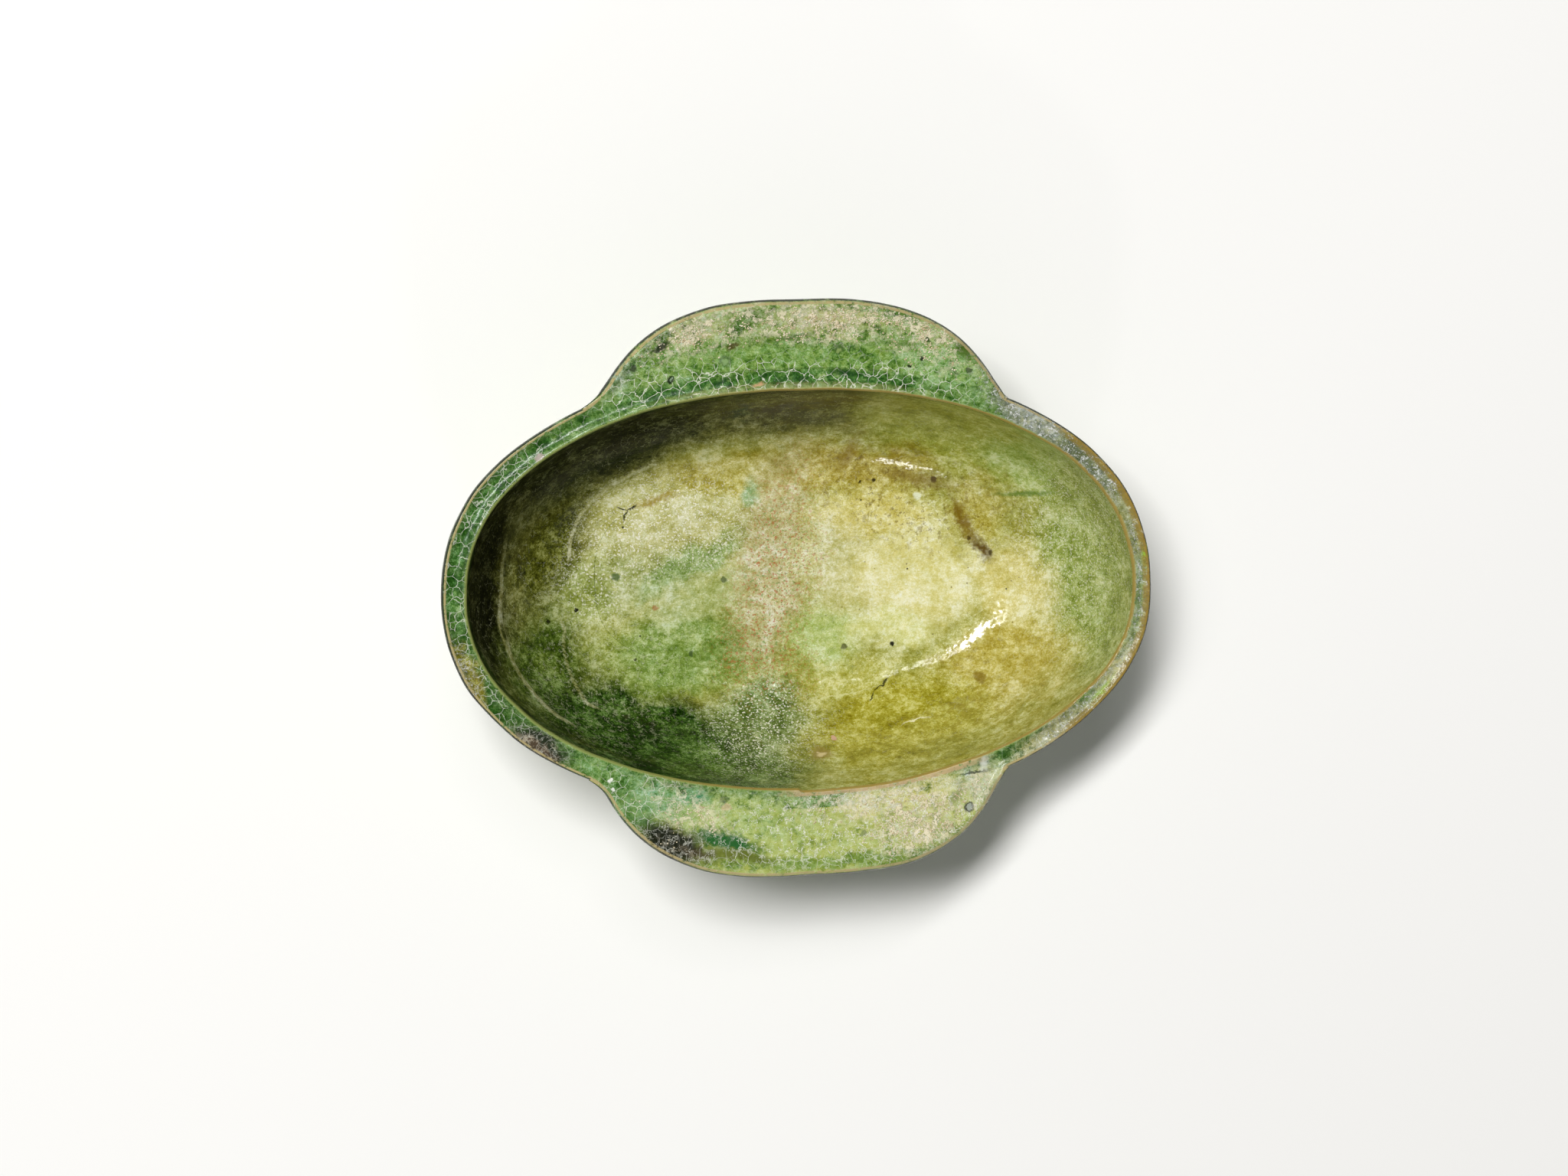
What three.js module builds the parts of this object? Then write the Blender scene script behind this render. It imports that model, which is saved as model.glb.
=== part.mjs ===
// Glazed pottery ear cup: a boat-shaped oval bowl with a flat beaded rim, a crescent ear luted
// to each long side, and a low flat oval foot. All sizes are millimetres and +Z is up.
// The origin is the centre of the foot's underside. X runs along the cup, and Y across it
// towards the back ear.
import * as THREE from 'three';

// Plan of the rim, which closes the bowl's wall
const rimLength = 120;
const rimWidth = 74.2;
const rimFullness = 2.18; // 2 is a plain ellipse, and more is squarer
const rimBand = 3.8; // from the opening to the outside of the rim
const openingFullness = 2.13;
const openingShift = 0.5; // to the right, so the rim is widest at its left end

// Plan of the ears, which were cut by hand and differ a little
const earSpan = 96.8; // across both ears
const backEarLength = 77.2;
const backEarFullness = 2.85;
const backEarShift = 0.6; // to the right of the bowl's middle
const frontEarLength = 76.6;
const frontEarFullness = 3.05;
const frontEarShift = 0.1;
const backLeftBlend = 3; // how softly an ear's end runs into the rim
const frontLeftBlend = 2.4;
const rightBlend = 0.8;
const earTipWidth = 1.2; // the blunt end of an ear's horn

// Heights, from the table up, and the floor
const footHeight = 2.5;
const floorThickness = 4.6;
const cupDepth = 26; // from the rim down to the edge of the floor
const floorDish = 0.6; // how far the floor sags below its own edge
const floorFullness = 2.9; // the floor is squarer than the rim

// The bowl's wall
const endWallRun = 22.5; // how far the wall comes in from the opening, at the cup's ends
const sideWallRun = 17;
const wallRoundness = 1.75; // 2 bends the wall as a quarter circle, and less is straighter
const undersideMargin = 3.2; // the bowl's flat underside past the floor's edge
const undersideFullness = 2.4; // of the flat underside and the foot

// The rim's face and edges
const beadHeight = 0.55; // the raised line along each edge of the rim and ears
const beadWidth = 1.0;
const lipRounding = 0.9;

// The ears' slabs
const earSlope = 0.24; // rise per millimetre, outwards from the rim
const earEdgeThickness = 2.8;
const earUndersideTaper = 0.17; // an ear thickens by this per millimetre towards the bowl
const slipJoint = 0.3; // the layer of slip that lutes an ear to the wall

// The foot
const footInset = 3; // the foot's edge, in from the edge of the bowl's flat underside
const footTaper = 0.7;

// Fineness
const bowlSegments = 88;
const wallSteps = 9;
const lipSteps = 3;
const bandSteps = 6;
const earSections = 34;
const earTopSteps = 8;
const earEdgeSteps = 5;
const earUnderSteps = 3;
const earRootSteps = 3;

const bodyClay = 0xb9a27c;
const bowlGlaze = 0x86934c;
const earGlaze = 0x5f9150;

const floorTop = footHeight + floorThickness;
const rimTop = floorTop + cupDepth;
const channelTop = rimTop - beadHeight;
const fullTurn = 2 * Math.PI;

function makeOval(length, width, fullness, shift = 0) {
  return { halfLength: length / 2, halfWidth: width / 2, fullness, shift };
}

// An oval whose outline lies a given distance in from another's, along X and along Y
function insetOval(oval, alongX, alongY, changes = {}) {
  const halfLength = oval.halfLength - alongX;
  const halfWidth = oval.halfWidth - alongY;
  return { ...oval, halfLength, halfWidth, ...changes };
}

function ovalBetween(low, high, share) {
  const mix = (key) => THREE.MathUtils.lerp(low[key], high[key], share);
  return {
    halfLength: mix('halfLength'),
    halfWidth: mix('halfWidth'),
    fullness: mix('fullness'),
    shift: mix('shift'),
  };
}

const rimOval = makeOval(rimLength, rimWidth, rimFullness);
const backEarOval = makeOval(backEarLength, earSpan, backEarFullness, backEarShift);
const frontEarOval = makeOval(frontEarLength, earSpan, frontEarFullness, frontEarShift);
const openingOval = insetOval(rimOval, rimBand, rimBand, {
  fullness: openingFullness,
  shift: openingShift,
});
const floorOval = insetOval(openingOval, endWallRun, sideWallRun, { fullness: floorFullness });
const undersideOval = insetOval(floorOval, -undersideMargin, -undersideMargin, {
  fullness: undersideFullness,
  shift: 0,
});
const footOval = insetOval(undersideOval, footInset, footInset);

// Distance of a point from an oval, below 0 inside it
function distanceToOval(x, y, oval) {
  const alongX = Math.abs(x - oval.shift);
  const across = Math.abs(y);
  const scaled =
    (alongX / oval.halfLength) ** oval.fullness + (across / oval.halfWidth) ** oval.fullness;
  return (1 - scaled ** (-1 / oval.fullness)) * Math.hypot(alongX, across);
}

// Distance from the whole outline, where the ears run into the rim with a fillet in each notch
function distanceToOutline(x, y) {
  const rim = distanceToOval(x, y, rimOval);
  const ear = distanceToOval(x, y, y > 0 ? backEarOval : frontEarOval);
  const leftBlend = y > 0 ? backLeftBlend : frontLeftBlend;
  const blend = x < 0 ? leftBlend : rightBlend;
  const overlap = Math.max(blend - Math.abs(rim - ear), 0) / blend;
  return Math.min(rim, ear) - (overlap * overlap * blend) / 4;
}

// How far an outline lies from the cup's axis at an angle, found by halving
function reachAt(angle, distance) {
  let inside = 0;
  let outside = rimLength + earSpan;
  const halvings = 40;
  for (let count = 0; count < halvings; count += 1) {
    const middle = (inside + outside) / 2;
    if (distance(middle * Math.cos(angle), middle * Math.sin(angle)) < 0) {
      inside = middle;
    } else {
      outside = middle;
    }
  }
  return inside;
}

function ovalReach(angle, oval) {
  return reachAt(angle, (x, y) => distanceToOval(x, y, oval));
}

function outlineReach(angle) {
  return reachAt(angle, distanceToOutline);
}

function pointAt(angle, reach, z) {
  return new THREE.Vector3(reach * Math.cos(angle), reach * Math.sin(angle), z);
}

// A wall's outline at a height, swinging out from a low oval to a high one and ending upright
function wallOval(z, low, high, lowZ, highZ) {
  const heightShare = THREE.MathUtils.clamp((z - lowZ) / (highZ - lowZ), 0, 1);
  const swing = (1 - (1 - heightShare) ** wallRoundness) ** (1 / wallRoundness);
  return ovalBetween(low, high, swing);
}

const wallTop = rimTop - lipRounding;

function outerWallOval(z) {
  return wallOval(z, undersideOval, rimOval, footHeight, wallTop);
}

function innerWallOval(z) {
  return wallOval(z, floorOval, openingOval, floorTop, wallTop);
}

// The raised line along an edge, by distance from that edge
function bead(distance) {
  return beadHeight * Math.exp(-(((distance - beadWidth / 2) / beadWidth) ** 2));
}

// The cup's upper face: beads along both edges, a channel between them, and ears that rise
function upperFace(fromOpening, toOutline) {
  const pastRim = Math.max(fromOpening - rimBand, 0);
  const easedRise = (pastRim * pastRim) / (pastRim + rimBand / 2);
  return channelTop + bead(fromOpening) + bead(toOutline) + earSlope * easedRise;
}

// A closed solid skinned over loops of points, with a flat cap on the first and last loop.
// Seen from the first cap's outside, each loop runs anticlockwise. flatten maps a point to 2D.
function skinLoops(loops, flatten) {
  const count = loops[0].length;
  const positions = loops.flat().flatMap((point) => [point.x, point.y, point.z]);
  const faces = [];
  for (let loop = 0; loop < loops.length - 1; loop += 1) {
    for (let corner = 0; corner < count; corner += 1) {
      const here = loop * count + corner;
      const next = loop * count + ((corner + 1) % count);
      faces.push(here, next + count, next, here, here + count, next + count);
    }
  }
  const addCap = (loop, first, reversed) => {
    for (const [a, b, c] of THREE.ShapeUtils.triangulateShape(loop.map(flatten), [])) {
      faces.push(first + a, first + (reversed ? c : b), first + (reversed ? b : c));
    }
  };
  addCap(loops[0], 0, false);
  addCap(loops[loops.length - 1], (loops.length - 1) * count, true);
  const skin = new THREE.BufferGeometry();
  skin.setAttribute('position', new THREE.Float32BufferAttribute(positions, 3));
  skin.setIndex(faces);
  skin.computeVertexNormals();
  return skin;
}

const flattenPlan = (point) => new THREE.Vector2(point.y, point.x); // as seen from below

// A loop round the cup. The reach and height may change with the angle.
function planLoop(reachOf, heightOf) {
  return Array.from({ length: bowlSegments }, (_, index) => {
    const angle = (-index * fullTurn) / bowlSegments;
    return pointAt(angle, reachOf(angle), heightOf(angle));
  });
}

function ovalLoop(oval, z) {
  return planLoop(
    (angle) => ovalReach(angle, oval),
    () => z,
  );
}

// The bowl, skinned from the rim of its flat underside up the outside, over the rim and down
// to the middle of the floor
function makeBowl() {
  const loops = [];
  for (let step = 0; step <= wallSteps; step += 1) {
    const lift = 1 - Math.cos((step / wallSteps) * (Math.PI / 2));
    const z = THREE.MathUtils.lerp(footHeight, wallTop, lift);
    loops.push(ovalLoop(outerWallOval(z), z));
  }
  for (let step = 1; step < lipSteps; step += 1) {
    loops.push(outerLipLoop(step / lipSteps));
  }
  for (let step = 0; step <= bandSteps; step += 1) {
    loops.push(bandLoop(step / bandSteps));
  }
  for (let step = wallSteps; step >= 0; step -= 1) {
    const lift = 1 - Math.cos((step / wallSteps) * (Math.PI / 2));
    const z = THREE.MathUtils.lerp(floorTop, wallTop, lift);
    loops.push(ovalLoop(innerWallOval(z), z));
  }
  const floorShares = [0.72, 0.44, 0.16];
  for (const share of floorShares) {
    const sag = floorDish * (1 - share * share);
    const drawnIn = [floorOval.halfLength, floorOval.halfWidth].map((half) => half * (1 - share));
    loops.push(ovalLoop(insetOval(floorOval, ...drawnIn), floorTop - sag));
  }
  return skinLoops(loops, flattenPlan);
}

// The rim's outer corner is rounded at the cup's ends, and upright where an ear meets it
function outerLipLoop(share) {
  const turn = (share * Math.PI) / 2;
  const reachOf = (angle) => ovalReach(angle, rimOval) - cornerAt(angle) * (1 - Math.cos(turn));
  const heightOf = (angle) => {
    const corner = bandFace(angle, cornerAt(angle));
    return THREE.MathUtils.lerp(wallTop, corner, Math.sin(turn));
  };
  return planLoop(reachOf, heightOf);
}

function bandLoop(share) {
  const insetOf = (angle) => {
    const width = ovalReach(angle, rimOval) - ovalReach(angle, openingOval);
    return THREE.MathUtils.lerp(cornerAt(angle), width - lipRounding / 2, share);
  };
  return planLoop(
    (angle) => ovalReach(angle, rimOval) - insetOf(angle),
    (angle) => bandFace(angle, insetOf(angle)),
  );
}

// How much of the rim's edge is rounded off: all of lipRounding away from the ears
function cornerAt(angle) {
  const cover = outlineReach(angle) - ovalReach(angle, rimOval);
  const open = 1 - THREE.MathUtils.smoothstep(cover, 0, earTipWidth);
  return (lipRounding / 2) * Math.max(open, slipJoint / lipRounding);
}

function bandFace(angle, inset) {
  const reach = ovalReach(angle, rimOval) - inset;
  return upperFace(reach - ovalReach(angle, openingOval), outlineReach(angle) - reach);
}

// One section of an ear, from the bowl's wall outwards, in a plane through the cup's axis
function earSection(angle) {
  const root = ovalReach(angle, rimOval) + slipJoint;
  const edge = outlineReach(angle);
  const width = edge - root;
  const opening = ovalReach(angle, openingOval);
  const nose = Math.min(earEdgeThickness / 2, width / 2);
  const face = (reach) => upperFace(reach - opening, edge - reach);
  const noseTop = face(edge - nose);
  const under = (reach) => noseTop - earEdgeThickness - earUndersideTaper * (edge - nose - reach);
  const section = [];
  for (let step = 0; step < earUnderSteps; step += 1) {
    const reach = THREE.MathUtils.lerp(root, edge - nose, step / earUnderSteps);
    section.push([step ? reach : wallReach(angle, under(root)), under(reach)]);
  }
  for (let step = 0; step <= earEdgeSteps; step += 1) {
    const turn = (step / earEdgeSteps - 0.5) * Math.PI;
    const middle = noseTop - earEdgeThickness / 2;
    const z = middle + (earEdgeThickness / 2) * Math.sin(turn);
    section.push([edge - nose + nose * Math.cos(turn), z]);
  }
  for (let step = 1; step <= earTopSteps; step += 1) {
    const reach = THREE.MathUtils.lerp(edge - nose, root, step / earTopSteps);
    section.push([reach, face(reach)]);
  }
  for (let step = 1; step < earRootSteps; step += 1) {
    const z = THREE.MathUtils.lerp(face(root), under(root), step / earRootSteps);
    section.push([wallReach(angle, z), z]);
  }
  return section.map(([reach, z]) => pointAt(angle, reach, z));
}

// Where an ear's root lies at a height, one slip joint clear of the wall behind it
function wallReach(angle, z) {
  return ovalReach(angle, outerWallOval(Math.min(z, wallTop))) + slipJoint;
}

// The angle, from one side of an ear towards its middle, where the ear is first a tip wide
function earTipAngle(from, towards) {
  const marks = 720;
  for (let mark = 0; mark <= marks; mark += 1) {
    const angle = THREE.MathUtils.lerp(from, towards, mark / marks);
    const width = outlineReach(angle) - ovalReach(angle, rimOval) - slipJoint;
    if (width >= earTipWidth) {
      return angle;
    }
  }
  return towards;
}

// An ear, swept from its right tip to its left tip for the back ear, and on round for the front
function makeEar(middle) {
  const quarter = Math.PI / 2;
  const first = earTipAngle(middle - quarter, middle);
  const last = earTipAngle(middle + quarter, middle);
  const sections = Array.from({ length: earSections }, (_, index) =>
    earSection(THREE.MathUtils.lerp(first, last, index / (earSections - 1))),
  );
  const flattenSection = (point) => new THREE.Vector2(Math.hypot(point.x, point.y), point.z);
  return skinLoops(sections, flattenSection);
}

// The foot, a low flat pad under the middle of the bowl, its side drawn in towards the table
function makeFoot() {
  const treadOval = insetOval(footOval, footTaper, footTaper);
  return skinLoops([ovalLoop(treadOval, 0), ovalLoop(footOval, footHeight)], flattenPlan);
}

function addPiece(name, geometry, colour, roughness) {
  const material = new THREE.MeshStandardMaterial({ color: colour, roughness, metalness: 0 });
  const piece = new THREE.Mesh(geometry, material);
  piece.name = name;
  cup.add(piece);
}

const cup = new THREE.Group();
addPiece('bowl_body', makeBowl(), bowlGlaze, 0.28);
addPiece('ear_back', makeEar(Math.PI / 2), earGlaze, 0.3);
addPiece('ear_front', makeEar(-Math.PI / 2), earGlaze, 0.3);
addPiece('foot_pad', makeFoot(), bodyClay, 0.85);

export default cup;
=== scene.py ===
import math

import bmesh
import bpy
import numpy as np
from mathutils import Matrix, Vector, noise


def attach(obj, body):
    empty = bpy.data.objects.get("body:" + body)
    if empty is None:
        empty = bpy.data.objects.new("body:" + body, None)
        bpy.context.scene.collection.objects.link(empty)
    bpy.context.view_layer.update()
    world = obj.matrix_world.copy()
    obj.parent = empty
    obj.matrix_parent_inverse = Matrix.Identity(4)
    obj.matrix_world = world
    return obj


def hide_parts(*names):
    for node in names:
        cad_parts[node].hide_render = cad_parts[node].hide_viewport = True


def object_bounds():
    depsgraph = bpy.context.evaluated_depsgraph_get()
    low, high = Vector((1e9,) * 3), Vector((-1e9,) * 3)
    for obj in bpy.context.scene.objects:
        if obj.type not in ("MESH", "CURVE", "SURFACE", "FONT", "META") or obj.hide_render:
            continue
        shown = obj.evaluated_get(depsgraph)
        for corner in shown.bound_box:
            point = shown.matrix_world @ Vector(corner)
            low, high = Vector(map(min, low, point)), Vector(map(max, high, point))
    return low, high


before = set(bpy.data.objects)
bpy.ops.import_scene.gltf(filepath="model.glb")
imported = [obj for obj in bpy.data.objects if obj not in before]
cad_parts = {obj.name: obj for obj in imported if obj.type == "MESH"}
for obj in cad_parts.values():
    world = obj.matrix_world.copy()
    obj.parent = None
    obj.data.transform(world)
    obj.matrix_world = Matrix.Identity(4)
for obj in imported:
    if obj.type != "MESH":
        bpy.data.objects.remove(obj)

cadLow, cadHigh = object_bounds()
metre = 1000.0  # millimetres in a metre
print("frame loaded:", len(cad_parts), "nodes")

# The cup's plan and heights in millimetres, as its solids have them
cup = dict(rimLength=120, rimWidth=74.2, rimFullness=2.18, rimBand=3.8, openingFullness=2.13,
           openingShift=0.5, earSpan=96.8, backLength=77.2, backFullness=2.85, backShift=0.6,
           frontLength=76.6, frontFullness=3.05, frontShift=0.1, backLeftBlend=3.0,
           frontLeftBlend=2.4, rightBlend=0.8, earTipWidth=1.2, footHeight=2.5,
           floorThickness=4.6, cupDepth=26, floorDish=0.6, endWallRun=22.5, sideWallRun=17,
           floorFullness=2.9, wallRoundness=1.75, undersideMargin=3.2, undersideFullness=2.4,
           beadHeight=0.55, beadWidth=1.0, lipRounding=0.9, earSlope=0.24, earEdge=2.8,
           earTaper=0.17, slipJoint=0.3, footInset=3.0, footTaper=0.7)
floorTop = cup["footHeight"] + cup["floorThickness"]
rimTop = floorTop + cup["cupDepth"]
wallTop = rimTop - cup["lipRounding"]
quarterTurn = math.pi / 2


def makeOval(length, width, fullness, shift=0.0):
    return np.array([length / 2, width / 2, fullness, shift], float)


def insetOval(oval, alongX, alongY):
    return oval - np.array([alongX, alongY, 0, 0])


rimOval = makeOval(cup["rimLength"], cup["rimWidth"], cup["rimFullness"])
backOval = makeOval(cup["backLength"], cup["earSpan"], cup["backFullness"], cup["backShift"])
frontOval = makeOval(cup["frontLength"], cup["earSpan"], cup["frontFullness"], cup["frontShift"])
openingOval = makeOval(cup["rimLength"] - 2 * cup["rimBand"], cup["rimWidth"] - 2 * cup["rimBand"],
                       cup["openingFullness"], cup["openingShift"])
floorOval = insetOval(openingOval, cup["endWallRun"], cup["sideWallRun"])
floorOval[2] = cup["floorFullness"]
undersideOval = insetOval(floorOval, -cup["undersideMargin"], -cup["undersideMargin"])
undersideOval[2:] = cup["undersideFullness"], 0
footOval = insetOval(undersideOval, cup["footInset"], cup["footInset"])


# Distance of points from an oval, below 0 inside it
def distanceToOval(x, y, oval):
    alongX, across = np.abs(x - oval[3]), np.abs(y)
    scaled = (alongX / oval[0]) ** oval[2] + (across / oval[1]) ** oval[2]
    return (1 - np.maximum(scaled, 1e-12) ** (-1 / oval[2])) * np.hypot(alongX, across)


def distanceToEars(x, y):
    return np.where(y > 0, distanceToOval(x, y, backOval), distanceToOval(x, y, frontOval))


def distanceToOutline(x, y):
    rim, ear = distanceToOval(x, y, rimOval), distanceToEars(x, y)
    leftBlend = np.where(y > 0, cup["backLeftBlend"], cup["frontLeftBlend"])
    blend = np.where(x < 0, leftBlend, cup["rightBlend"])
    overlap = np.maximum(blend - np.abs(rim - ear), 0) / blend
    return np.minimum(rim, ear) - overlap * overlap * blend / 4


halvings = 34  # these find a reach to within a millionth of a millimetre


# How far an outline lies from the cup's axis at each angle, found by halving
def reachAt(angle, distance):
    inside, outside = np.zeros_like(angle), np.full_like(angle, cup["rimLength"])
    for _ in range(halvings):
        middle = (inside + outside) / 2
        within = distance(middle * np.cos(angle), middle * np.sin(angle)) < 0
        inside, outside = np.where(within, middle, inside), np.where(within, outside, middle)
    return inside


def ovalReach(angle, oval):
    return reachAt(angle, lambda x, y: distanceToOval(x, y, oval))


# Turns from 0, left out, to a quarter, in even steps
def quarterTurns(steps):
    return np.linspace(0, 1, steps + 1)[1:] * quarterTurn


def smoothStep(low, high, value):
    share = np.clip((value - low) / (high - low), 0, 1)
    return share * share * (3 - 2 * share)


def bead(distance):
    return cup["beadHeight"] * np.exp(-(((distance - cup["beadWidth"] / 2) / cup["beadWidth"]) ** 2))


# The upper face's height: beads along both edges, a channel between them, and ears that rise
def upperFace(fromOpening, toOutline):
    pastRim = np.maximum(fromOpening - cup["rimBand"], 0)
    easedRise = pastRim * pastRim / (pastRim + cup["rimBand"] / 2)
    channelTop = rimTop - cup["beadHeight"]
    return channelTop + bead(fromOpening) + bead(toOutline) + cup["earSlope"] * easedRise


# Angles round the cup, closer together in the four notches between rim and ears
planSteps = dict(angles=556, crowding=2.4, crowdedOver=2.0, marks=2880, across=5)


def planAngles():
    even = np.linspace(-math.pi, math.pi, planSteps["marks"] + 1)
    apart = ovalReach(even, rimOval) - reachAt(even, distanceToEars)
    crowd = 1 + planSteps["crowding"] * np.exp(-((apart / planSteps["crowdedOver"]) ** 2))
    passed = np.concatenate([[0], np.cumsum((crowd[1:] + crowd[:-1]) / 2)])
    return np.interp(np.linspace(0, passed[-1], planSteps["angles"] + 1)[:-1], passed, even)


angles = planAngles()
rimReach = ovalReach(angles, rimOval)
openingReach = ovalReach(angles, openingOval)
outlineReach = reachAt(angles, distanceToOutline)
earCover = outlineReach - rimReach
leastCover = 0.05  # in mm, how far an ear reaches past the rim where it begins

# The rim's outer corner is rounded at the cup's ends, and sharp where an ear covers it
openCorner = 1 - smoothStep(0, cup["earTipWidth"], earCover)
rimCorner = cup["lipRounding"] / 2 * np.maximum(openCorner, cup["slipJoint"] / cup["lipRounding"])


# A wall's lift and swing, as shares of its height and its run, at a turn up to a quarter
def wallCurve(turn):
    power = 2 / cup["wallRoundness"]
    return 1 - math.cos(turn) ** power, math.sin(turn) ** power


# A wall's reach at a share of its swing, from a low oval out to a high one
def wallReach(angle, swing, low, high):
    return ovalReach(angle, low + (high - low) * swing)


def outerWallReach(angle, z):
    lift = np.clip((z - cup["footHeight"]) / (wallTop - cup["footHeight"]), 0, 1)
    swing = (1 - (1 - lift) ** cup["wallRoundness"]) ** (1 / cup["wallRoundness"])

    def distance(x, y):
        ovals = [low + (high - low) * swing for low, high in zip(undersideOval, rimOval)]
        scaled = (np.abs(x - ovals[3]) / ovals[0]) ** ovals[2] + (np.abs(y) / ovals[1]) ** ovals[2]
        return scaled - 1

    return reachAt(angle, distance)


# Uneven shape from hand work, as a slow push on every point, in mm. The cup is drawn in by half as
# much, which the push hardly ever passes, so that it stays inside its solids' box. A lump of slip
# fills the notch left of the back ear.
handWork = dict(push=0.3, spread=21.0, finePush=0.11, fineSpread=6.0, seed=4.0, settles=4.0,
                noiseSeed=1)
slipLump = dict(place=(-31.2, 32.4, 29.2), size=(2.6, 1.9, 2.0), height=1.3)
noise.seed_set(handWork["noiseSeed"])  # without a seed, the noise vectors follow the clock


def handShaped(points):
    slowSeed = Vector((handWork["seed"], 2 * handWork["seed"], 0))
    fineSeed = Vector((0, handWork["seed"], -handWork["seed"]))
    away = (points - slipLump["place"]) / slipLump["size"]
    lump = slipLump["height"] * np.exp(-(away ** 2).sum(axis=1)) * (points[:, 2] < wallTop)
    outwards = points * [1, 1, 0]
    outwards /= np.maximum(np.linalg.norm(outwards, axis=1), 1)[:, None]
    pushed = np.empty_like(points)
    for index, point in enumerate(points):
        place = Vector(point)
        slow = noise.noise_vector(place / handWork["spread"] + slowSeed)
        fine = noise.noise_vector(place / handWork["fineSpread"] + fineSeed)
        pushed[index] = slow * handWork["push"] + fine * handWork["finePush"]
    pushed[:, 2] *= np.clip(points[:, 2] / handWork["settles"], 0, 1)
    room = (handWork["push"] + handWork["finePush"]) / 2
    size = (np.array(cadHigh) - np.array(cadLow)) * metre
    drawnIn = points * (1 - room / np.array([size[0] / 2, size[1] / 2, size[2]]))
    return drawnIn + pushed + outwards * lump[:, None]


# Puts a mesh, light or camera into the scene
def placeObject(name, data):
    placed = bpy.data.objects.new(name, data)
    bpy.context.scene.collection.objects.link(placed)
    return placed


# Writes a number at each point of a mesh
def markPoints(mesh, label, values):
    mark = mesh.attributes.new(label, "FLOAT", "POINT")
    mark.data.foreach_set("value", values.astype(np.float32))


# Skins a grid of points, whose rows close on themselves, into a piece. Each end row is closed
# with a fan. The marks are numbers at the points, and sharp edges run along chosen rows.
def skinRows(name, rows, slots, rowSlots, marks, sharpAlong=None):
    width, count = len(rows[0]), len(rows)
    ends = np.array([rows[0].mean(axis=0), rows[-1].mean(axis=0)])
    points = handShaped(np.concatenate(rows + [ends])) / metre
    low = (np.arange(count - 1)[:, None] * width + np.arange(width)[None, :])
    after = (np.arange(count - 1)[:, None] * width + (np.arange(width) + 1)[None, :] % width)
    quads = np.stack([low, after, after + width, low + width], axis=2).reshape(-1, 4)
    first, last = count * width, count * width + 1
    fans = [(first, (here + 1) % width, here) for here in range(width)]
    top = (count - 1) * width
    fans += [(last, top + here, top + (here + 1) % width) for here in range(width)]
    faceSlots = np.repeat(rowSlots, width).tolist()
    faceSlots += [rowSlots[0]] * width + [rowSlots[-1]] * width
    mesh = bpy.data.meshes.new(name)
    mesh.from_pydata(points.tolist(), [], quads.tolist() + fans)
    mesh.polygons.foreach_set("material_index", faceSlots)
    mesh.polygons.foreach_set("use_smooth", [True] * len(mesh.polygons))
    build = bmesh.new()
    build.from_mesh(mesh)
    bmesh.ops.recalc_face_normals(build, faces=build.faces)
    if sharpAlong is not None:
        build.verts.ensure_lookup_table()
        for here in np.flatnonzero(sharpAlong[1]):
            corners = [build.verts[sharpAlong[0] * width + int(step) % width]
                       for step in (here, here + 1)]
            build.edges.get(corners).smooth = False
    build.to_mesh(mesh)
    build.free()
    for label, values in marks.items():
        fanTips = [values[0].mean(), values[-1].mean()]
        markPoints(mesh, label, np.concatenate(values + [fanTips]))
    for material in slots:
        mesh.materials.append(material)
    return placeObject(name, mesh)


far = 30.0  # a marked distance in mm that no line of the glaze reaches


def ringRow(angle, reach, height):
    return np.stack([reach * np.cos(angle), reach * np.sin(angle), height + 0 * angle], axis=1)


def linearColour(hexColour):
    channels = [int(hexColour[start:start + 2], 16) / 255 for start in (1, 3, 5)]
    return [c / 12.92 if c <= 0.04045 else ((c + 0.055) / 1.055) ** 2.4 for c in channels] + [1.0]


# Adds a node with its settings. A node or socket given as an input is linked, and a hex colour
# is turned linear.
def addNode(tree, kind, inputs=None, **settings):
    longName = kind if kind.startswith(("Geometry", "Node", "Function")) else "ShaderNode" + kind
    node = tree.nodes.new(longName)
    for name, value in settings.items():
        setattr(node, name, value)
    for name, value in (inputs or {}).items():
        if isinstance(value, bpy.types.Node):
            value = next(output for output in value.outputs if output.enabled)
        if isinstance(value, bpy.types.NodeSocket):
            tree.links.new(value, node.inputs[name])
        elif isinstance(value, str) and value.startswith("#"):
            node.inputs[name].default_value = linearColour(value)
        else:
            node.inputs[name].default_value = value
    return node


# Starts a node group with one output, and gives its inputs
def startGroup(name, kind, output, **inputs):
    tree = bpy.data.node_groups.new(name, kind)
    for label, socket in inputs.items():
        tree.interface.new_socket(label, in_out="INPUT", socket_type="NodeSocket" + socket)
    tree.interface.new_socket(output, in_out="OUTPUT", socket_type="NodeSocket" + output)
    return tree, addNode(tree, "NodeGroupInput").outputs


# Lays the tone over what is under it in a group, from full at a near distance to none at a far one
def layByDistance(tree, given, away, near, none):
    share = addNode(tree, "MapRange", {0: away, 1: near, 2: none, 3: given["Strength"], 4: 0.0},
                    interpolation_type="SMOOTHSTEP")
    mixed = addNode(tree, "Mix", {0: share, 6: given["Under"], 7: given["Tone"]}, data_type="RGBA")
    addNode(tree, "NodeGroupOutput", {"Color": mixed})


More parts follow.
